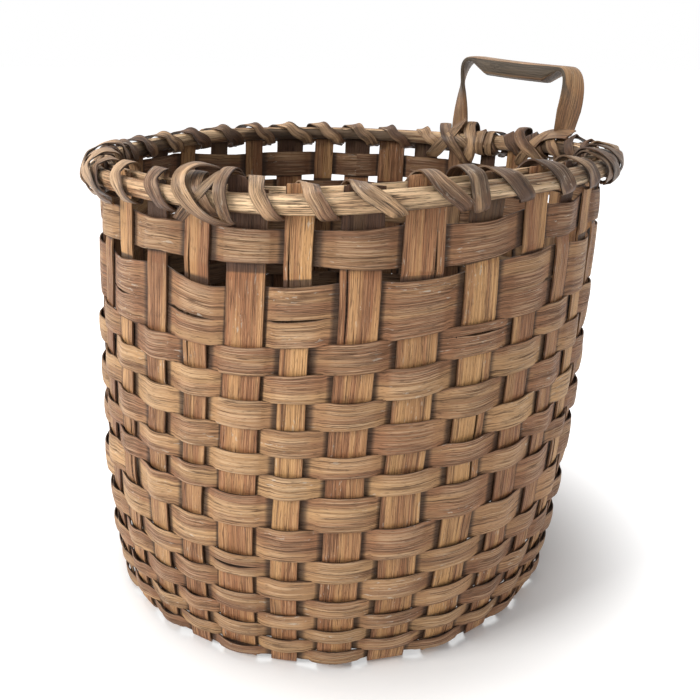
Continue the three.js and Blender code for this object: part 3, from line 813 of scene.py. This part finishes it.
def long_splint(name, splint, strip, crossed, overs, seed):
    """A splint from the top of one wall, across the base, to the top of the opposite wall."""
    first, second, width = splint
    back = [[end, start] for start, end in strip]
    base = turn_stations(strip, first)[::-1]
    for other, over in zip(crossed, overs):
        base += crossing(strip, other, over)
    base += turn_stations(back, second)
    one = wall_stations(first, width, 1)
    other = wall_stations(second, width, -1)[::-1]
    stations = one + fill(base) + other
    lanes, slit = splint_slit(name, splint_length)
    chance = np.random.default_rng(seed)
    tone, warm = chance.uniform(-0.6, 0.6), chance.uniform(-0.35, 0.4)
    piece = lay_strip(f"{name}_wood", stations, width, lanes, slit, tone, warm, seed, (first, second))
    dress(piece, name, upright_wood)


for index, splint in enumerate(front_splints):
    crossed = crossed_by(index, len(side_splints), "front", "back")
    overs = [(index + other) % 2 == 0 for other in crossed]
    strips = [side_strips[other] for other in crossed]
    long_splint(f"splint_front_{index + 1:02d}", splint, front_strips[index], strips, overs, 11 + index)
for index, splint in enumerate(side_splints):
    crossed = crossed_by(index, len(front_splints), "left", "right")
    overs = [(index + other) % 2 == 1 for other in crossed]
    strips = [front_strips[other] for other in crossed]
    long_splint(f"splint_side_{index + 1:02d}", splint, side_strips[index], strips, overs, 31 + index)

# Base fillers: four short strips that close the round parts of the base past the outermost splints.
# They are woven in like the splints and end flat inside the wall.
for side, place in {"front": -1, "back": len(side_splints), "left": -1, "right": len(front_splints)}.items():
    crossed = front_strips if side in ("front", "back") else side_strips
    parity = 1 if side in ("front", "back") else 0
    strip, width = filler_strips[side]
    first, last = filler_crossings[side]
    stations = []
    for other in range(first, last + 1):
        stations += crossing(strip, crossed[other], (place + other) % 2 == parity)
    for end, near in ((0, stations[0]), (1, stations[-1])):
        edges = [np.array([line[end][0], line[end][1], point[2]]) for line, point in zip(strip, near[0])]
        stations.insert(0 if end == 0 else len(stations), (edges, near[1], near[2]))
    seed = 51 + sorted(filler_strips).index(side)
    piece = lay_strip(f"filler_{side}_wood", fill(stations), width, plain_lanes, None, -0.3, 0.2, seed, None)
    dress(piece, f"filler_{side}", upright_wood)

# Weavers: seventeen closed bands of thinner strip, 8 to 41 mm wide, pulled round the wall in plain weave.
# Each lies over one upright and under the next, and bulges where it passes in front of one.
weaver_thickness = 1.2
weaver_edge_round = 0.2
weaver_edge_lane = 0.9
wide_row = 30
weave_reach = 1.4
steps_per_pitch = 14
weaver_wood = wood(
    "weaver splint wood", (0.46, 0.265, 0.122), (0.3, 0.14, 0.066), (0.032, 0.016, 0.009), (0.62, 0.45, 0.29),
    groove_scale=1.3, fibre_scale=1.1, depth=0.9,
)

# The browner and paler strips, from the top row down, and how red each one is
row_tones = [-0.9, -0.1, -0.2, -0.1, 0.1, 0.2, 0, -0.1, 0.25, 0.3, -0.1, 0, -0.2, -0.1, -0.5, -0.4, -0.6]
row_warmth = [0.5, 0.2, 0.15, -0.05, 0.1, -0.1, 0.15, 0, -0.05, 0.1, -0.1, 0.1, 0.1, 0.2, 0.1, 0.15, 0.1]


def pitch_columns(start):
    """Bearings round the wall from an upright on, with the upright that each column is nearest to."""
    places = start + np.arange(count * steps_per_pitch + 1) / steps_per_pitch
    two_turns = np.concatenate([bearings, bearings + 360, bearings[:1] + 720])
    turned = np.interp(places, np.arange(2 * count + 1), two_turns)
    return turned, np.round(places).astype(int) % count


def row_line(turn, boundary):
    """How the line between two rows wanders up and down, the same for the row above and the row below."""
    return 0.6 * ripple(turn, 300 + boundary, 5, 9)


def weaver(number):
    """One closed band of the wall, numbered from the top; it closes behind an upright of the back wall."""
    turned, nearest = pitch_columns(count // 2 + (number + 1) % 2)
    turn = np.radians(turned)
    width = row_widths[number - 1]
    wide = width > wide_row
    top, bottom = row_tops[number - 1], row_bottoms[number - 1]
    offset_mm = np.radians((turned - bearings[nearest] + 180) % 360 - 180) * wall_radius((top + bottom) / 2)
    half = widths[nearest] / 2
    sign = np.where((nearest + number) % 2 == 1, 1.0, -1.0)

    # From the shoulder of each upright the strip runs to the middle of the gap, where it crosses the wall
    pitch = np.radians(np.diff(np.append(bearings, bearings[0] + 360))) * mouth_radius
    after = pitch[nearest] / 2
    before = pitch[(nearest - 1) % count] / 2
    room = np.where(offset_mm >= 0, after, before)
    share = np.clip((np.abs(offset_mm) - half - 1) / np.maximum(room - half - 1, 1), 0, 1)
    state = sign * (1 - share ** 1.6)
    crown = np.where(np.abs(offset_mm) < half + 1, 1 - (offset_mm / (half + 1)) ** 2, 0)

    # A slack band stands off the upright that it passes in front of
    chance = np.random.default_rng(200 + number)
    least, most = (0.2, 1.4) if wide else (0.7, 2.6)
    slack = chance.uniform(least, most, count)[nearest] * crown
    lift = state * weave_reach + sign * slack
    inset = weaver_edge_lane / width
    lanes = np.concatenate([[0, inset], np.linspace(0, 1, 8 if width > 12 else 6)[1:-1], [1 - inset, 1]])
    if number in slits_of_rows:
        place = slits_of_rows[number][0]
        lanes = np.sort(np.append(lanes, [place - inset, place, place, place + inset]))
    shape = 1 - (2 * lanes[:, None] - 1) ** 2
    cup = (0.3 if wide else 0.7) * sign * (0.3 + 0.7 * crown)

    # Rows touch in the gaps, and overlap a little in height where they lie at different depths
    spread = 0.25 + 0.75 * smooth(np.clip((np.abs(state) - 0.25) / 0.4, 0, 1))
    high = top + row_line(turn, number) + (spread if number > 2 else 0)
    low = bottom + row_line(turn, number + 1 if number > 1 else 50) - (spread if number > 1 else 0)
    high = high - 0.7 * chance.uniform(0, 1, count)[nearest] * crown * (sign > 0)
    low = low + 0.7 * chance.uniform(0, 1, count)[nearest] * crown * (sign > 0)
    heights = high + (low - high) * lanes[:, None]
    heeled = 0.45 * ripple(turn, 360 + number, 9, 6) * (2 * lanes[:, None] - 1) * np.abs(state)
    radius = wall_radius(heights) + lift + cup * shape + heeled
    lay = outward(turned)[None] * radius[..., None]
    lay[..., 2] = heights
    along = np.radians(turned - turned[0]) * mouth_radius
    across = lanes[:, None] * width
    if number in slits_of_rows:
        place, cracks = slits_of_rows[number]
        lane = int(np.searchsorted(lanes, place))
        around = turned % 360
        opening = sum(
            gap * smooth(np.clip((around - start) / 3, 0, 1)) * smooth(np.clip((end - around) / 4, 0, 1))
            for start, end, gap in cracks
        )
        lay[:lane + 1, :, 2] += opening / 2 * (lanes[:lane + 1, None] / place) ** 2
        lay[lane + 1:, :, 2] -= opening / 2 * ((1 - lanes[lane + 1:, None]) / (1 - place)) ** 2
    # Where the band goes behind an upright its lift mark falls below zero and the wood paints it dark there:
    # painted shade, with some soiling
    marks = {
        "lift": state + 0.3 * sign * crown,
        "tone": row_tones[number - 1] + 0.25 * ripple(turn, 400 + number, 1, 5),
        "warm": row_warmth[number - 1] + 0.3 * ripple(turn, 430 + number, 2, 5) + 0.25 * np.sin(turn + 0.4),
        "edge": edge_mark(lanes)[:, None],
    }
    name = f"weaver_{number:02d}"
    piece = sheet(f"{name}_wood", lay, along + 1700 * number, across + 90 * number, marks)
    if number in slits_of_rows:
        cut_slit(piece, lane, len(turned))
    weld(piece)
    thicken(piece, weaver_thickness, weaver_edge_round)
    dress(piece, name, weaver_wood)


# Old strips crack along the grain: place across the row, then start, end and opening of each crack by bearing
slits_of_rows = {
    2: (0.55, [
        (300, 312, 1.6), (322, 334, 1.9), (344, 357, 1.5), (40, 52, 2.0), (120, 131, 1.4), (228, 240, 1.5),
    ]),
    3: (0.3, [(22, 31, 1.2), (250, 262, 1.2)]),
    9: (0.42, [(84, 97, 1.0), (284, 296, 1.2), (165, 179, 1.0)]),
    10: (0.63, [(58, 70, 1.1), (210, 222, 1.1)]),
    11: (0.52, [(334, 345, 1.8), (140, 150, 1.0)]),
}
for number in range(1, len(row_widths) + 1):
    weaver(number)

# Ear handle: one strap split and bent from a single stick, with its legs tucked down inside the wall.
# The grip is left thick and is carved round underneath, and hands have worn the bar smooth.
handle_bearings = (146, 106.8)
leg_width = 17
leg_thickness = 3
leg_tip_width = 10
leg_taper = 12
leg_rows = 4
strap_width = 21
strap_thickness = 4
strap_edge = 0.9
handle_rise = 79
handle_drop = 16
left_overhang = 3
right_overhang = 8
left_corner = (28, 20)
right_corner = (15, 34)
grip_depth = 15
grip_bevel = 6.5
grip_inset = 1
left_grip_ramp = 18
right_grip_ramp = 16
left_leg_twist = 0.55
left_twist_delay = 1.1
right_corner_twist = 0.4
right_twist_delay = 4
leg_clear = 5.3
leg_steps = 22
bend_steps = 13
grip_steps = 48
handle_wood = wood(
    "handle wood", (0.52, 0.29, 0.13), (0.32, 0.155, 0.07), (0.085, 0.074, 0.056), (0.66, 0.5, 0.32),
    groove_scale=1.6, depth=1.0, polish=0.15,
)


def sweep(name, rings, along, closed, marks, seed):
    """A solid through rings of points, closed on itself or with flat ends."""
    rings = np.array(rings)
    if closed:
        rings = np.concatenate([rings, rings[:1]])
    lay = np.concatenate([rings, rings[:, :1]], axis=1).transpose(1, 0, 2)
    around = run_length(lay[:, len(rings) // 2])
    piece = sheet(name, lay, along + 700 * seed, around[:, None] + 60 * seed, marks)
    weld(piece)
    if not closed:
        bpy.ops.object.mode_set(mode="EDIT")
        bpy.ops.mesh.select_all(action="DESELECT")
        bpy.ops.mesh.select_mode(type="VERT")
        bpy.ops.mesh.select_non_manifold()
        bpy.ops.mesh.edge_face_add()
        bpy.ops.object.mode_set(mode="OBJECT")
    weld(piece, outside=True)
    bpy.ops.object.shade_smooth_by_angle(angle=math.radians(40))
    return piece


def leg_centre(bearing, height):
    """Where a leg lies against the inner side of its upright."""
    depth = wall_radius(min(height, wall_top)) - splint_thickness / 2 - fit - leg_thickness / 2 - 0.5
    return outward(bearing) * depth + np.array([0, 0, height])


def strap_ring(centre, across, normal, width, thickness, depth, bevel):
    """A ring of the handle: a slightly crowned strap above and rounded bevels below the grip."""
    half = width / 2
    high = thickness / 2
    low = high - depth
    soft = bevel * 0.3
    turn = strap_edge * 0.35
    top = [
        (0, high + 0.35), (half / 2, high + 0.25), (half - strap_edge, high),
        (half - turn, high - turn), (half, high - strap_edge),
    ]
    under = [(half, low + bevel), (half - soft, low + soft), (half - bevel, low), (0, low - 0.2)]
    other_top = [(-side, rise) for side, rise in top[:0:-1]]
    other_under = [(-side, rise) for side, rise in under[-2::-1]]
    profile = other_top + top + under + other_under
    return [centre + across * side + normal * rise for side, rise in profile]


def bend(first, corner, last, shares):
    """Points and directions of a soft corner between two straight runs."""
    for share in shares:
        point = first * (1 - share) ** 2 + corner * 2 * share * (1 - share) + last * share ** 2
        way = (corner - first) * (1 - share) + (last - corner) * share
        yield point, way / np.linalg.norm(way)


def handle_rings():
    """The rings of the strap, from the tip of its left leg over the grip to the tip of its right leg."""
    left, right = handle_bearings
    clear = hoop_top + leg_clear
    feet = [leg_centre(bearing, clear) for bearing in handle_bearings]
    chord = feet[1] - feet[0]
    length = np.linalg.norm(chord)
    chord = chord / length
    top = hoop_top + handle_rise - strap_thickness / 2

    def spot(distance, height):
        point = feet[0] + chord * distance
        point[2] = height
        return point

    def toward(start, goal, distance):
        return start + (goal - start) / np.linalg.norm(goal - start) * distance

    corners = [spot(-left_overhang, top), spot(length + right_overhang, top - handle_drop)]
    bar = corners[1] - corners[0]
    bar_length = np.linalg.norm(bar)
    bar = bar / bar_length
    vertical = np.array([0, 0, 1.0])
    left_start = toward(corners[0], feet[0], left_corner[0])
    left_end = toward(corners[0], corners[1], left_corner[1])
    right_start = toward(corners[1], corners[0], right_corner[0])
    right_end = toward(corners[1], feet[1], right_corner[1])
    rise = toward(np.zeros(3), left_start - feet[0], 1)
    fall = toward(np.zeros(3), feet[1] - right_end, 1)
    bar_turn = (left + right) / 2 - 90
    rings = []

    def add(centre, travel, turn, width, thickness, depth, bevel):
        across = np.array([math.cos(math.radians(turn)), math.sin(math.radians(turn)), 0])
        across -= travel * np.dot(across, travel)
        across /= np.linalg.norm(across)
        rings.append(strap_ring(centre, across, np.cross(travel, across), width, thickness, depth, bevel))

    bottom = row_tops[leg_rows]
    tip_heights = [bottom, bottom + leg_taper / 2]
    leg_heights = np.concatenate([tip_heights, np.linspace(bottom + leg_taper, clear, leg_steps)])

    def leg(bearing, travel, turn, heights):
        for height in heights:
            taper = min((height - bottom) / leg_taper, 1)
            width = leg_tip_width + (leg_width - leg_tip_width) * taper
            add(leg_centre(bearing, height), travel, turn, width, leg_thickness, leg_thickness, strap_edge)

    leg(left, vertical, left, leg_heights)
    bend_shares = np.linspace(0, 1, bend_steps)
    shares = bend_shares[1:]
    for share in shares:
        turn = left + (bar_turn - left) * left_leg_twist * share ** left_twist_delay
        width = leg_width + (strap_width - leg_width) * share
        thickness = leg_thickness + (strap_thickness - leg_thickness) * share
        add(feet[0] * (1 - share) + left_start * share, rise, turn, width, thickness, thickness, strap_edge)
    for share, (point, way) in zip(shares, bend(left_start, corners[0], left_end, shares)):
        turn = left + (bar_turn - left) * (left_leg_twist + (1 - left_leg_twist) * share)
        add(point, way, turn, strap_width, strap_thickness, strap_thickness, strap_edge)
    start = left_corner[1] + grip_inset
    end = bar_length - right_corner[0] - grip_inset
    for distance in np.linspace(start, end, grip_steps):
        swell = np.clip(min((distance - start) / left_grip_ramp, (end - distance) / right_grip_ramp), 0, 1)
        depth = strap_thickness + (grip_depth - strap_thickness) * swell
        bevel = strap_edge + (grip_bevel - strap_edge) * swell
        add(corners[0] + bar * distance, bar, bar_turn, strap_width, strap_thickness, depth, bevel)
    whole_twist = right - 180 - bar_turn
    for share, (point, way) in zip(bend_shares, bend(right_start, corners[1], right_end, bend_shares)):
        turn = bar_turn + whole_twist * right_corner_twist * share ** 2
        add(point, way, turn, strap_width, strap_thickness, strap_thickness, strap_edge)
    for share in shares[:-1]:
        done = right_corner_twist + (1 - right_corner_twist) * share ** right_twist_delay
        width = strap_width + (leg_width - strap_width) * share
        thickness = strap_thickness + (leg_thickness - strap_thickness) * share
        centre = right_end * (1 - share) + feet[1] * share
        add(centre, fall, bar_turn + whole_twist * done, width, thickness, thickness, strap_edge)
    leg(right, -vertical, right - 180, leg_heights[::-1])
    return np.array(rings)


rings = handle_rings()
centres = rings.mean(axis=1)
along = run_length(centres)
worn_bar = np.clip((centres[:, 2] - hoop_top - 30) / 40, 0, 1)
sides = rings.shape[1]

# Hands have rubbed the bar golden on top and grey underneath
underneath = np.isin(np.arange(sides + 1), [9, 10, 11, 12, 13, 14])[:, None]
marks = {
    "lift": np.where(underneath, 0.3, 0.3 + 1.2 * worn_bar),
    "tone": np.where(underneath, -0.9 * worn_bar, 0.1) + 0.3 * ripple(along / 40, 5, 2, 4),
    "warm": 0.3 - 0.4 * worn_bar + 0.35 * ripple(along / 50, 6, 2, 4),
    "edge": np.where(underneath, worn_bar, 0),
}
piece = sweep("handle_wood_bent", rings, along, False, marks, 3)
dress(piece, "handle", handle_wood)

# Rim hoops: an outer and an inner half-round hoop of riven wood that clamp the upright tops between them.
# The inner one stands a little higher and bows inward round the two legs of the handle.
outer_hoop_thickness = 8
inner_hoop_thickness = 7
inner_lift = 3
bow_hold = 12
bow_spread = 30
hoop_steps = 360
hoop_wood = wood(
    "rim hoop wood", (0.88, 0.61, 0.36), (0.44, 0.235, 0.115), (0.055, 0.032, 0.019), (0.86, 0.72, 0.54),
    groove_scale=2.0, depth=1.2,
)
outer_seat = mouth_radius + splint_thickness / 2 + fit + 0.5
inner_seat = mouth_radius - splint_thickness / 2 - fit - 0.9

# The section of a hoop, flat against the uprights and round on its free side: shares outward and upward
hoop_section = [
    (0, 0.02), (0, 0.5), (0, 0.98), (0.25, 1), (0.6, 0.97), (0.85, 0.86), (0.97, 0.66),
    (1, 0.45), (0.95, 0.25), (0.8, 0.08), (0.5, 0), (0.2, 0),
]


def bow(bearing):
    """How far the inner hoop bows inward beside the legs of the handle."""
    deepest = 0
    for foot in handle_bearings:
        turn = np.abs((bearing - foot + 180) % 360 - 180)
        share = np.clip((turn - bow_hold) / bow_spread, 0, 1)
        deepest = np.maximum(deepest, (leg_thickness + fit) * (1 + np.cos(math.pi * share)) / 2)
    return deepest


def hoop(name, seat, thickness, raised, follow, seed):
    """A closed hoop on its seat, outward or inward by its thickness, with chips along its round side."""
    turned = 180 + np.arange(hoop_steps) * 360 / hoop_steps
    turn = np.radians(turned)
    swell = 1 + 0.08 * ripple(turn, seed, 3, 6)
    face = abs(thickness) * swell
    low = hoop_bottom + raised + 0.5 * ripple(turn, seed + 1, 2, 5)
    high = hoop_top + raised + 0.5 * ripple(turn, seed + 2, 2, 5)
    shift = -bow(turned) if follow else 0
    sides = []
    for out, rise in hoop_section:
        chips = 0.22 * ripple(turn, seed + 10 + int(out * 20 + rise * 7), 25, 30) * (out > 0.3)
        radius = seat + shift + math.copysign(1, thickness) * (face * out + chips)
        point = outward(turned) * radius[:, None]
        point[:, 2] = low + (high - low) * rise
        sides.append(point)
    rings = np.stack(sides, 1)
    along = np.arange(hoop_steps + 1) * 2 * math.pi / hoop_steps * seat
    closed_turn = np.append(turn, 3 * np.pi)

    # The hoops have weathered grey at the right of the front, and are painted darker there as shade
    weathered_and_shaded_side = np.exp(-((np.degrees(closed_turn) - 410) / 24) ** 2)
    marks = {
        "lift": 0.75 + 0.4 * ripple(closed_turn, seed + 5, 3, 7) + 0.6 * weathered_and_shaded_side,
        "tone": 0.1 + 0.35 * ripple(closed_turn, seed + 6, 4, 7) - 1.2 * weathered_and_shaded_side,
        "warm": 0.3 * ripple(closed_turn, seed + 7, 2, 5),
        "edge": 0.0,
    }
    piece = sweep(f"{name}_wood", rings, along, True, marks, seed)
    dress(piece, name, hoop_wood)


hoop("hoop_outer", outer_seat, outer_hoop_thickness, 0, False, 61)
hoop("hoop_inner", inner_seat, -inner_hoop_thickness, inner_lift, True, 81)

# Lashing: two long narrow strips wound round the rim, one wrap in each gap between uprights.
# Each wrap arches over the upright tops, slants down the outer hoop and passes back under through the gap.
lash_width = 11
lash_thickness = 1.1
lash_edge_round = 0.2
lash_gap = 1.2
lash_wood = wood(
    "lashing splint wood",
    (0.54, 0.33, 0.175), (0.2, 0.096, 0.046), (0.022, 0.012, 0.007), (0.78, 0.62, 0.43),
    groove_scale=2.0, depth=1.3, polish=0.2,
)
next_widths = np.roll(widths, -1)
next_bearings = np.append(bearings[1:], bearings[0] + 360)
gaps = (bearings + next_bearings) / 2 + np.degrees((widths - next_widths) / 4 / mouth_radius)
rim_middle = hoop_bottom + (hoop_height + inner_lift) / 2


def loop_points(away, slack, arch, slant):
    """The places that a wrap passes, each as radius, height and share of the way to the next gap."""
    outside = outer_seat + outer_hoop_thickness + away
    inside = inner_seat - inner_hoop_thickness - away
    crest = hoop_top + inner_lift + away + arch
    rest = 1 - slant
    return [
        (outside - 5, hoop_bottom - away - 1.6 - slack * 0.5, -0.06),
        (outside + 0.3 * slack, hoop_bottom - away + 1.8 - slack * 0.3, 0.04 * slant),
        (outside + 0.8 * slack, hoop_bottom + hoop_height * 0.55, 0.42 * slant),
        (outside - 1 + 0.8 * slack, hoop_top + 0.35 * arch, 0.8 * slant),
        (mouth_radius + 4.2 + 0.3 * slack, crest - 1.6, slant),
        (mouth_radius - 2.5, crest, slant + 0.12 * rest),
        (inside + 2.5, hoop_top + inner_lift + away + 0.4 * arch, slant + 0.3 * rest),
        (inside, hoop_top + inner_lift - 4.5, slant + 0.5 * rest),
        (inside, hoop_bottom + inner_lift + 3, slant + 0.8 * rest),
        (inside + 3.5, hoop_bottom + inner_lift - away - 2.2, slant + 0.95 * rest),
        (mouth_radius, hoop_bottom + 0.2 - away, 1.0),
    ]


def through(points, steps=5):
    """A smooth line through points, with a few steps between each two."""
    padded = np.concatenate([points[:1] * 2 - points[1:2], points, points[-1:] * 2 - points[-2:-1]])
    line = []
    for index in range(1, len(padded) - 2):
        before, here, there, after = padded[index - 1:index + 3]
        for share in np.arange(steps) / steps:
            line.append(0.5 * (
                2 * here + (there - before) * share
                + (2 * before - 5 * here + 4 * there - after) * share ** 2
                + (3 * here - before - 3 * there + after) * share ** 3
            ))
    return np.array(line + [padded[-2]])


def wind(name, wraps, seed):
    """A strip wound through the places of its wraps."""
    places, sizes = [], []
    for start, end, away, slack, arch, slant, width in wraps:
        for radius, height, share in loop_points(away, slack, arch, slant):
            bearing = start + (end - start) * share
            inward = bow(np.array(bearing)) if radius < mouth_radius - 1 else 0
            places.append((radius - inward, height, bearing))
            sizes.append(width * (0.75 if share in (0.0, 1.0) else 1.0))
    return strand(name, places, sizes, seed)


def strand(name, places, sizes, seed):
    """A strip through places given as radius, height and bearing, lying flat on what it goes round."""
    line = through(np.array(places, float))
    size = through(np.array(sizes, float)[:, None])[:, 0]
    centre = outward(line[:, 2]) * line[:, :1]
    centre[:, 2] = line[:, 1]
    way = np.gradient(centre, axis=0)
    way /= np.linalg.norm(way, axis=1)[:, None]
    core = outward(line[:, 2]) * mouth_radius
    core[:, 2] = rim_middle
    normal = centre - core
    normal -= way * np.sum(normal * way, axis=1)[:, None]
    normal /= np.linalg.norm(normal, axis=1)[:, None]
    side = np.cross(way, normal)
    lanes = np.array([-0.5, -0.42, -0.2, 0, 0.2, 0.42, 0.5])
    cup = 0.45 * (1 - 4 * lanes ** 2)
    wobble = 1 + 0.05 * ripple(np.arange(len(line)) / 9, seed, 1, 3)
    lay = (
        centre[None] + side[None] * (lanes[:, None, None] * (size * wobble)[None, :, None])
        + normal[None] * cup[:, None, None]
    )
    along = run_length(centre)
    on_top = np.clip((line[:, 1] - hoop_bottom + 2) / 8, 0, 1)
    inside = np.clip((mouth_radius - line[:, 0]) / 6, 0, 1)
    in_shade = np.clip(np.cos(np.radians(line[:, 2] - 50)), 0, 1) ** 2
    # Below the hoop and on the inner faces the lashing is painted dark as shade with some soiling, and at the
    # front right it is painted darker as shade
    marks = {
        "lift": (-0.55 + 1.45 * on_top) * (1 - 1.6 * inside),
        "tone": 0.7 * ripple(along / 60, seed + 1, 2, 5) - 1.3 * in_shade,
        "warm": 0.1 + 0.45 * ripple(along / 90, seed + 2, 2, 5) + 0.3 * in_shade,
        "edge": np.where(np.abs(lanes[:, None]) > 0.45, 0.9, 0.0),
    }
    piece = sheet(name, lay, along + 300 * seed, (lanes[:, None] + 0.5) * lash_width + 40 * seed, marks)
    thicken(piece, lash_thickness, lash_edge_round)
    return piece


def bundle(node_name, strands):
    """Strands that belong to one lashing, joined into its piece."""
    bpy.ops.object.select_all(action="DESELECT")
    for one in strands:
        one.select_set(True)
    bpy.context.view_layer.objects.active = strands[0]
    bpy.ops.object.join()
    dress(strands[0], node_name, lash_wood)


def gap_at(index):
    """The bearing of the gap after an upright, counted on past a whole turn."""
    return gaps[index % count] + 360 * (index // count)


# Slack, arch over the rim and slant of the wraps that stand out, by the upright that each goes over
loose_wraps = {
    33: (0.3, 0.6, 0.3), 32: (0.4, 4.9, 0.33), 31: (0.6, 5, 0.42), 30: (1.5, 3.9, 0.35), 29: (1.4, 4.5, 0.4),
    28: (1.3, 3, 0.5), 27: (1.2, 2.5, 0.55), 26: (1.2, 2, 0.55), 25: (1, 1.5, 0.45), 0: (0.3, 0.6, 0.55),
    1: (0.8, 4.4, 0.5), 2: (0.5, 0.8, 0.35), 3: (1, 2, 0.45), 4: (1.4, 1.5, 0.45), 5: (1.4, 2, 0.5),
    6: (1.3, 1.5, 0.55), 7: (1.2, 1.5, 0.55), 8: (1, 1.2, 0.45), 10: (0.2, 0.8, 0.05), 14: (0.2, 0.8, 0.05),
}


def lash_wraps(first, total, seed):
    """Wraps in turn from one gap to the one before it."""
    chance = np.random.default_rng(seed)
    wraps = []
    for wrap in range(total):
        index = first - wrap
        usual = (chance.uniform(0, 0.8), chance.uniform(0.3, 1.8), chance.uniform(0.12, 0.3))
        slack, arch, slant = loose_wraps.get(index % count, usual)
        width = lash_width * chance.uniform(0.9, 1.12)
        wraps.append((gap_at(index), gap_at(index - 1), lash_gap, slack, arch, slant, width))
    return wraps


def spare_loop(index, shift, run, away, slack, arch):
    """One more turn that slants over the wraps, with its ends tucked under the rim."""
    start = gap_at(index) + shift
    return (start, start - run, lash_gap + away, slack, arch, 0.6, 10.5)


over_gap = [
    (207, 343, 22.6), (211.6, 346, 22.2), (212.2, 356.5, 21.4), (211, 364.5, 20.8), (206, 367.6, 20.4),
    (197, 369.4, 20), (188.6, 364, 19.6), (187.6, 352, 19.2), (192, 345, 19),
]
bundle("lashing_right", [
    wind("lashing_right_wood", lash_wraps(count // 2, count // 2, 71), 71),
    wind("right_loop_1", [spare_loop(5, 3.6, 13, 1.6, 1.8, 2.5)], 73),
    wind("right_loop_2", [spare_loop(6, 4.5, 19, 2.6, 1.6, 2)], 74),
    wind("right_loop_3", [spare_loop(7, 3.6, 17, 1.8, 1.4, 1.5)], 75),
    strand("right_over_gap", over_gap, [8, 11, 11.5, 11.5, 11, 11, 11, 10, 8], 76),
])
bundle("lashing_left", [
    wind("lashing_left_wood", lash_wraps(count, count // 2, 72), 72),
    wind("left_loop_1", [spare_loop(27, 5, 20, 1.6, 1.8, 3)], 83),
    wind("left_loop_2", [spare_loop(26, 3.6, 18, 2.4, 1.6, 2.5)], 84),
    wind("left_loop_3", [spare_loop(28, 3, 22, 3, 1.8, 3.5)], 85),
])

# Cross lashes: more short strips at both legs of the handle and at the front left.
# They go over the wraps the other way and make an X with them, with cut ends left standing.
front_up = [
    (211, 340.5, 328), (211, 346, 329.2), (211.2, 354, 331), (210.6, 362, 333), (206.5, 370, 335),
    (199, 372.5, 336.2), (190.5, 367, 337.2), (187.6, 356, 338), (189, 348, 338.6),
]
front_down = [
    (208, 341.5, 337.8), (212, 344, 337.5), (213.2, 352, 336.8), (212.6, 362, 336.2), (207.5, 370.6, 336.2),
    (198, 374, 336.3), (189, 367, 336.2), (186.6, 353, 336), (190, 345, 335.8),
]
front_bow = [
    (207, 340.6, 337.6), (212.8, 342, 336), (214, 346, 333.4), (214.6, 353.5, 330.8), (214.4, 362.5, 329),
    (210.5, 371.4, 329), (203, 375.6, 330.6), (195, 372.6, 333), (189.4, 365, 334.6),
]
bundle("cross_lash_front", [
    strand("front_strap_up", front_up, [7.5, 7.5, 7.5, 7.5, 7.5, 7.5, 7.5, 7, 7], 91),
    strand("front_strap_down", front_down, [7, 8.5, 8.5, 8.5, 8.5, 8.5, 8.5, 8, 8], 92),
    strand("front_bow", front_bow, [6, 8, 9, 9.5, 9.5, 9.5, 9, 8, 7], 93),
])
left_leg_up = [
    (197, 338.5, 155), (189.4, 341, 153.6), (187.6, 347, 151.7), (187.4, 355.5, 149.4), (189, 365.8, 146.6),
    (190.6, 372, 144.9), (191.4, 378.5, 143.2),
]
left_leg_over = [
    (207, 352, 142.6), (208.8, 360, 142.5), (205, 370.5, 142.4), (197.5, 374.6, 142.3), (190.4, 369, 141.6),
    (186.6, 358.2, 139.9), (186.2, 348.2, 139.9), (188.4, 339, 141.6), (195, 336.5, 143.4),
]
left_leg_down = [
    (208.6, 357, 151.8), (205, 369, 151.2), (198, 371.6, 150.8), (190.2, 366, 149.6), (185.6, 356.7, 147.3),
    (185.2, 347.3, 144.3), (187.6, 339, 141.9), (195, 337, 140.8),
]
bundle("cross_lash_left_leg", [
    strand("left_leg_strap_up", left_leg_up, [9, 11.5, 12, 12, 12, 12, 12], 94),
    strand("left_leg_strap_over", left_leg_over, [8, 11, 12, 12, 12, 12, 12, 11, 8], 95),
    strand("left_leg_strap_down", left_leg_down, [8, 11, 11, 11, 11, 11, 10, 8], 96),
    wind("left_leg_loop_1", [(136.3, 136.8, lash_gap + 1.4, 0.5, 0, 0.2, 9)], 97),
    wind("left_leg_loop_2", [(133, 133.5, lash_gap + 1.4, 0.5, 0.5, 0.2, 8)], 98),
])
right_leg_band = [
    (188.4, 349, 119), (187.6, 356.5, 116.4), (188.2, 363, 113.4), (188.8, 366.6, 110.3), (189.4, 368, 106.8),
    (190, 368.6, 103), (191.6, 368.4, 99.4),
]
right_leg_up = [
    (195, 338, 122.6), (188.4, 341.5, 121), (186, 349, 118.4), (185.8, 357.4, 115.4), (188, 366.3, 111.6),
    (196, 371, 110.2), (205, 369, 109.8), (209, 358, 109.6),
]
right_leg_down = [
    (208, 357, 124.4), (205, 369, 124), (197, 371.4, 123.6), (189.4, 366, 122.8), (184.8, 357, 118.6),
    (184.2, 350, 113.4), (185.6, 343.5, 109), (192, 340, 107.6),
]
bundle("cross_lash_right_leg", [
    strand("right_leg_band", right_leg_band, [9, 11, 11.5, 12, 12, 12, 12], 99),
    strand("right_leg_strap_up", right_leg_up, [8, 11, 11, 11, 11, 11, 10, 8], 100),
    strand("right_leg_strap_down", right_leg_down, [8, 10, 11, 11, 11, 11, 10, 8], 101),
])
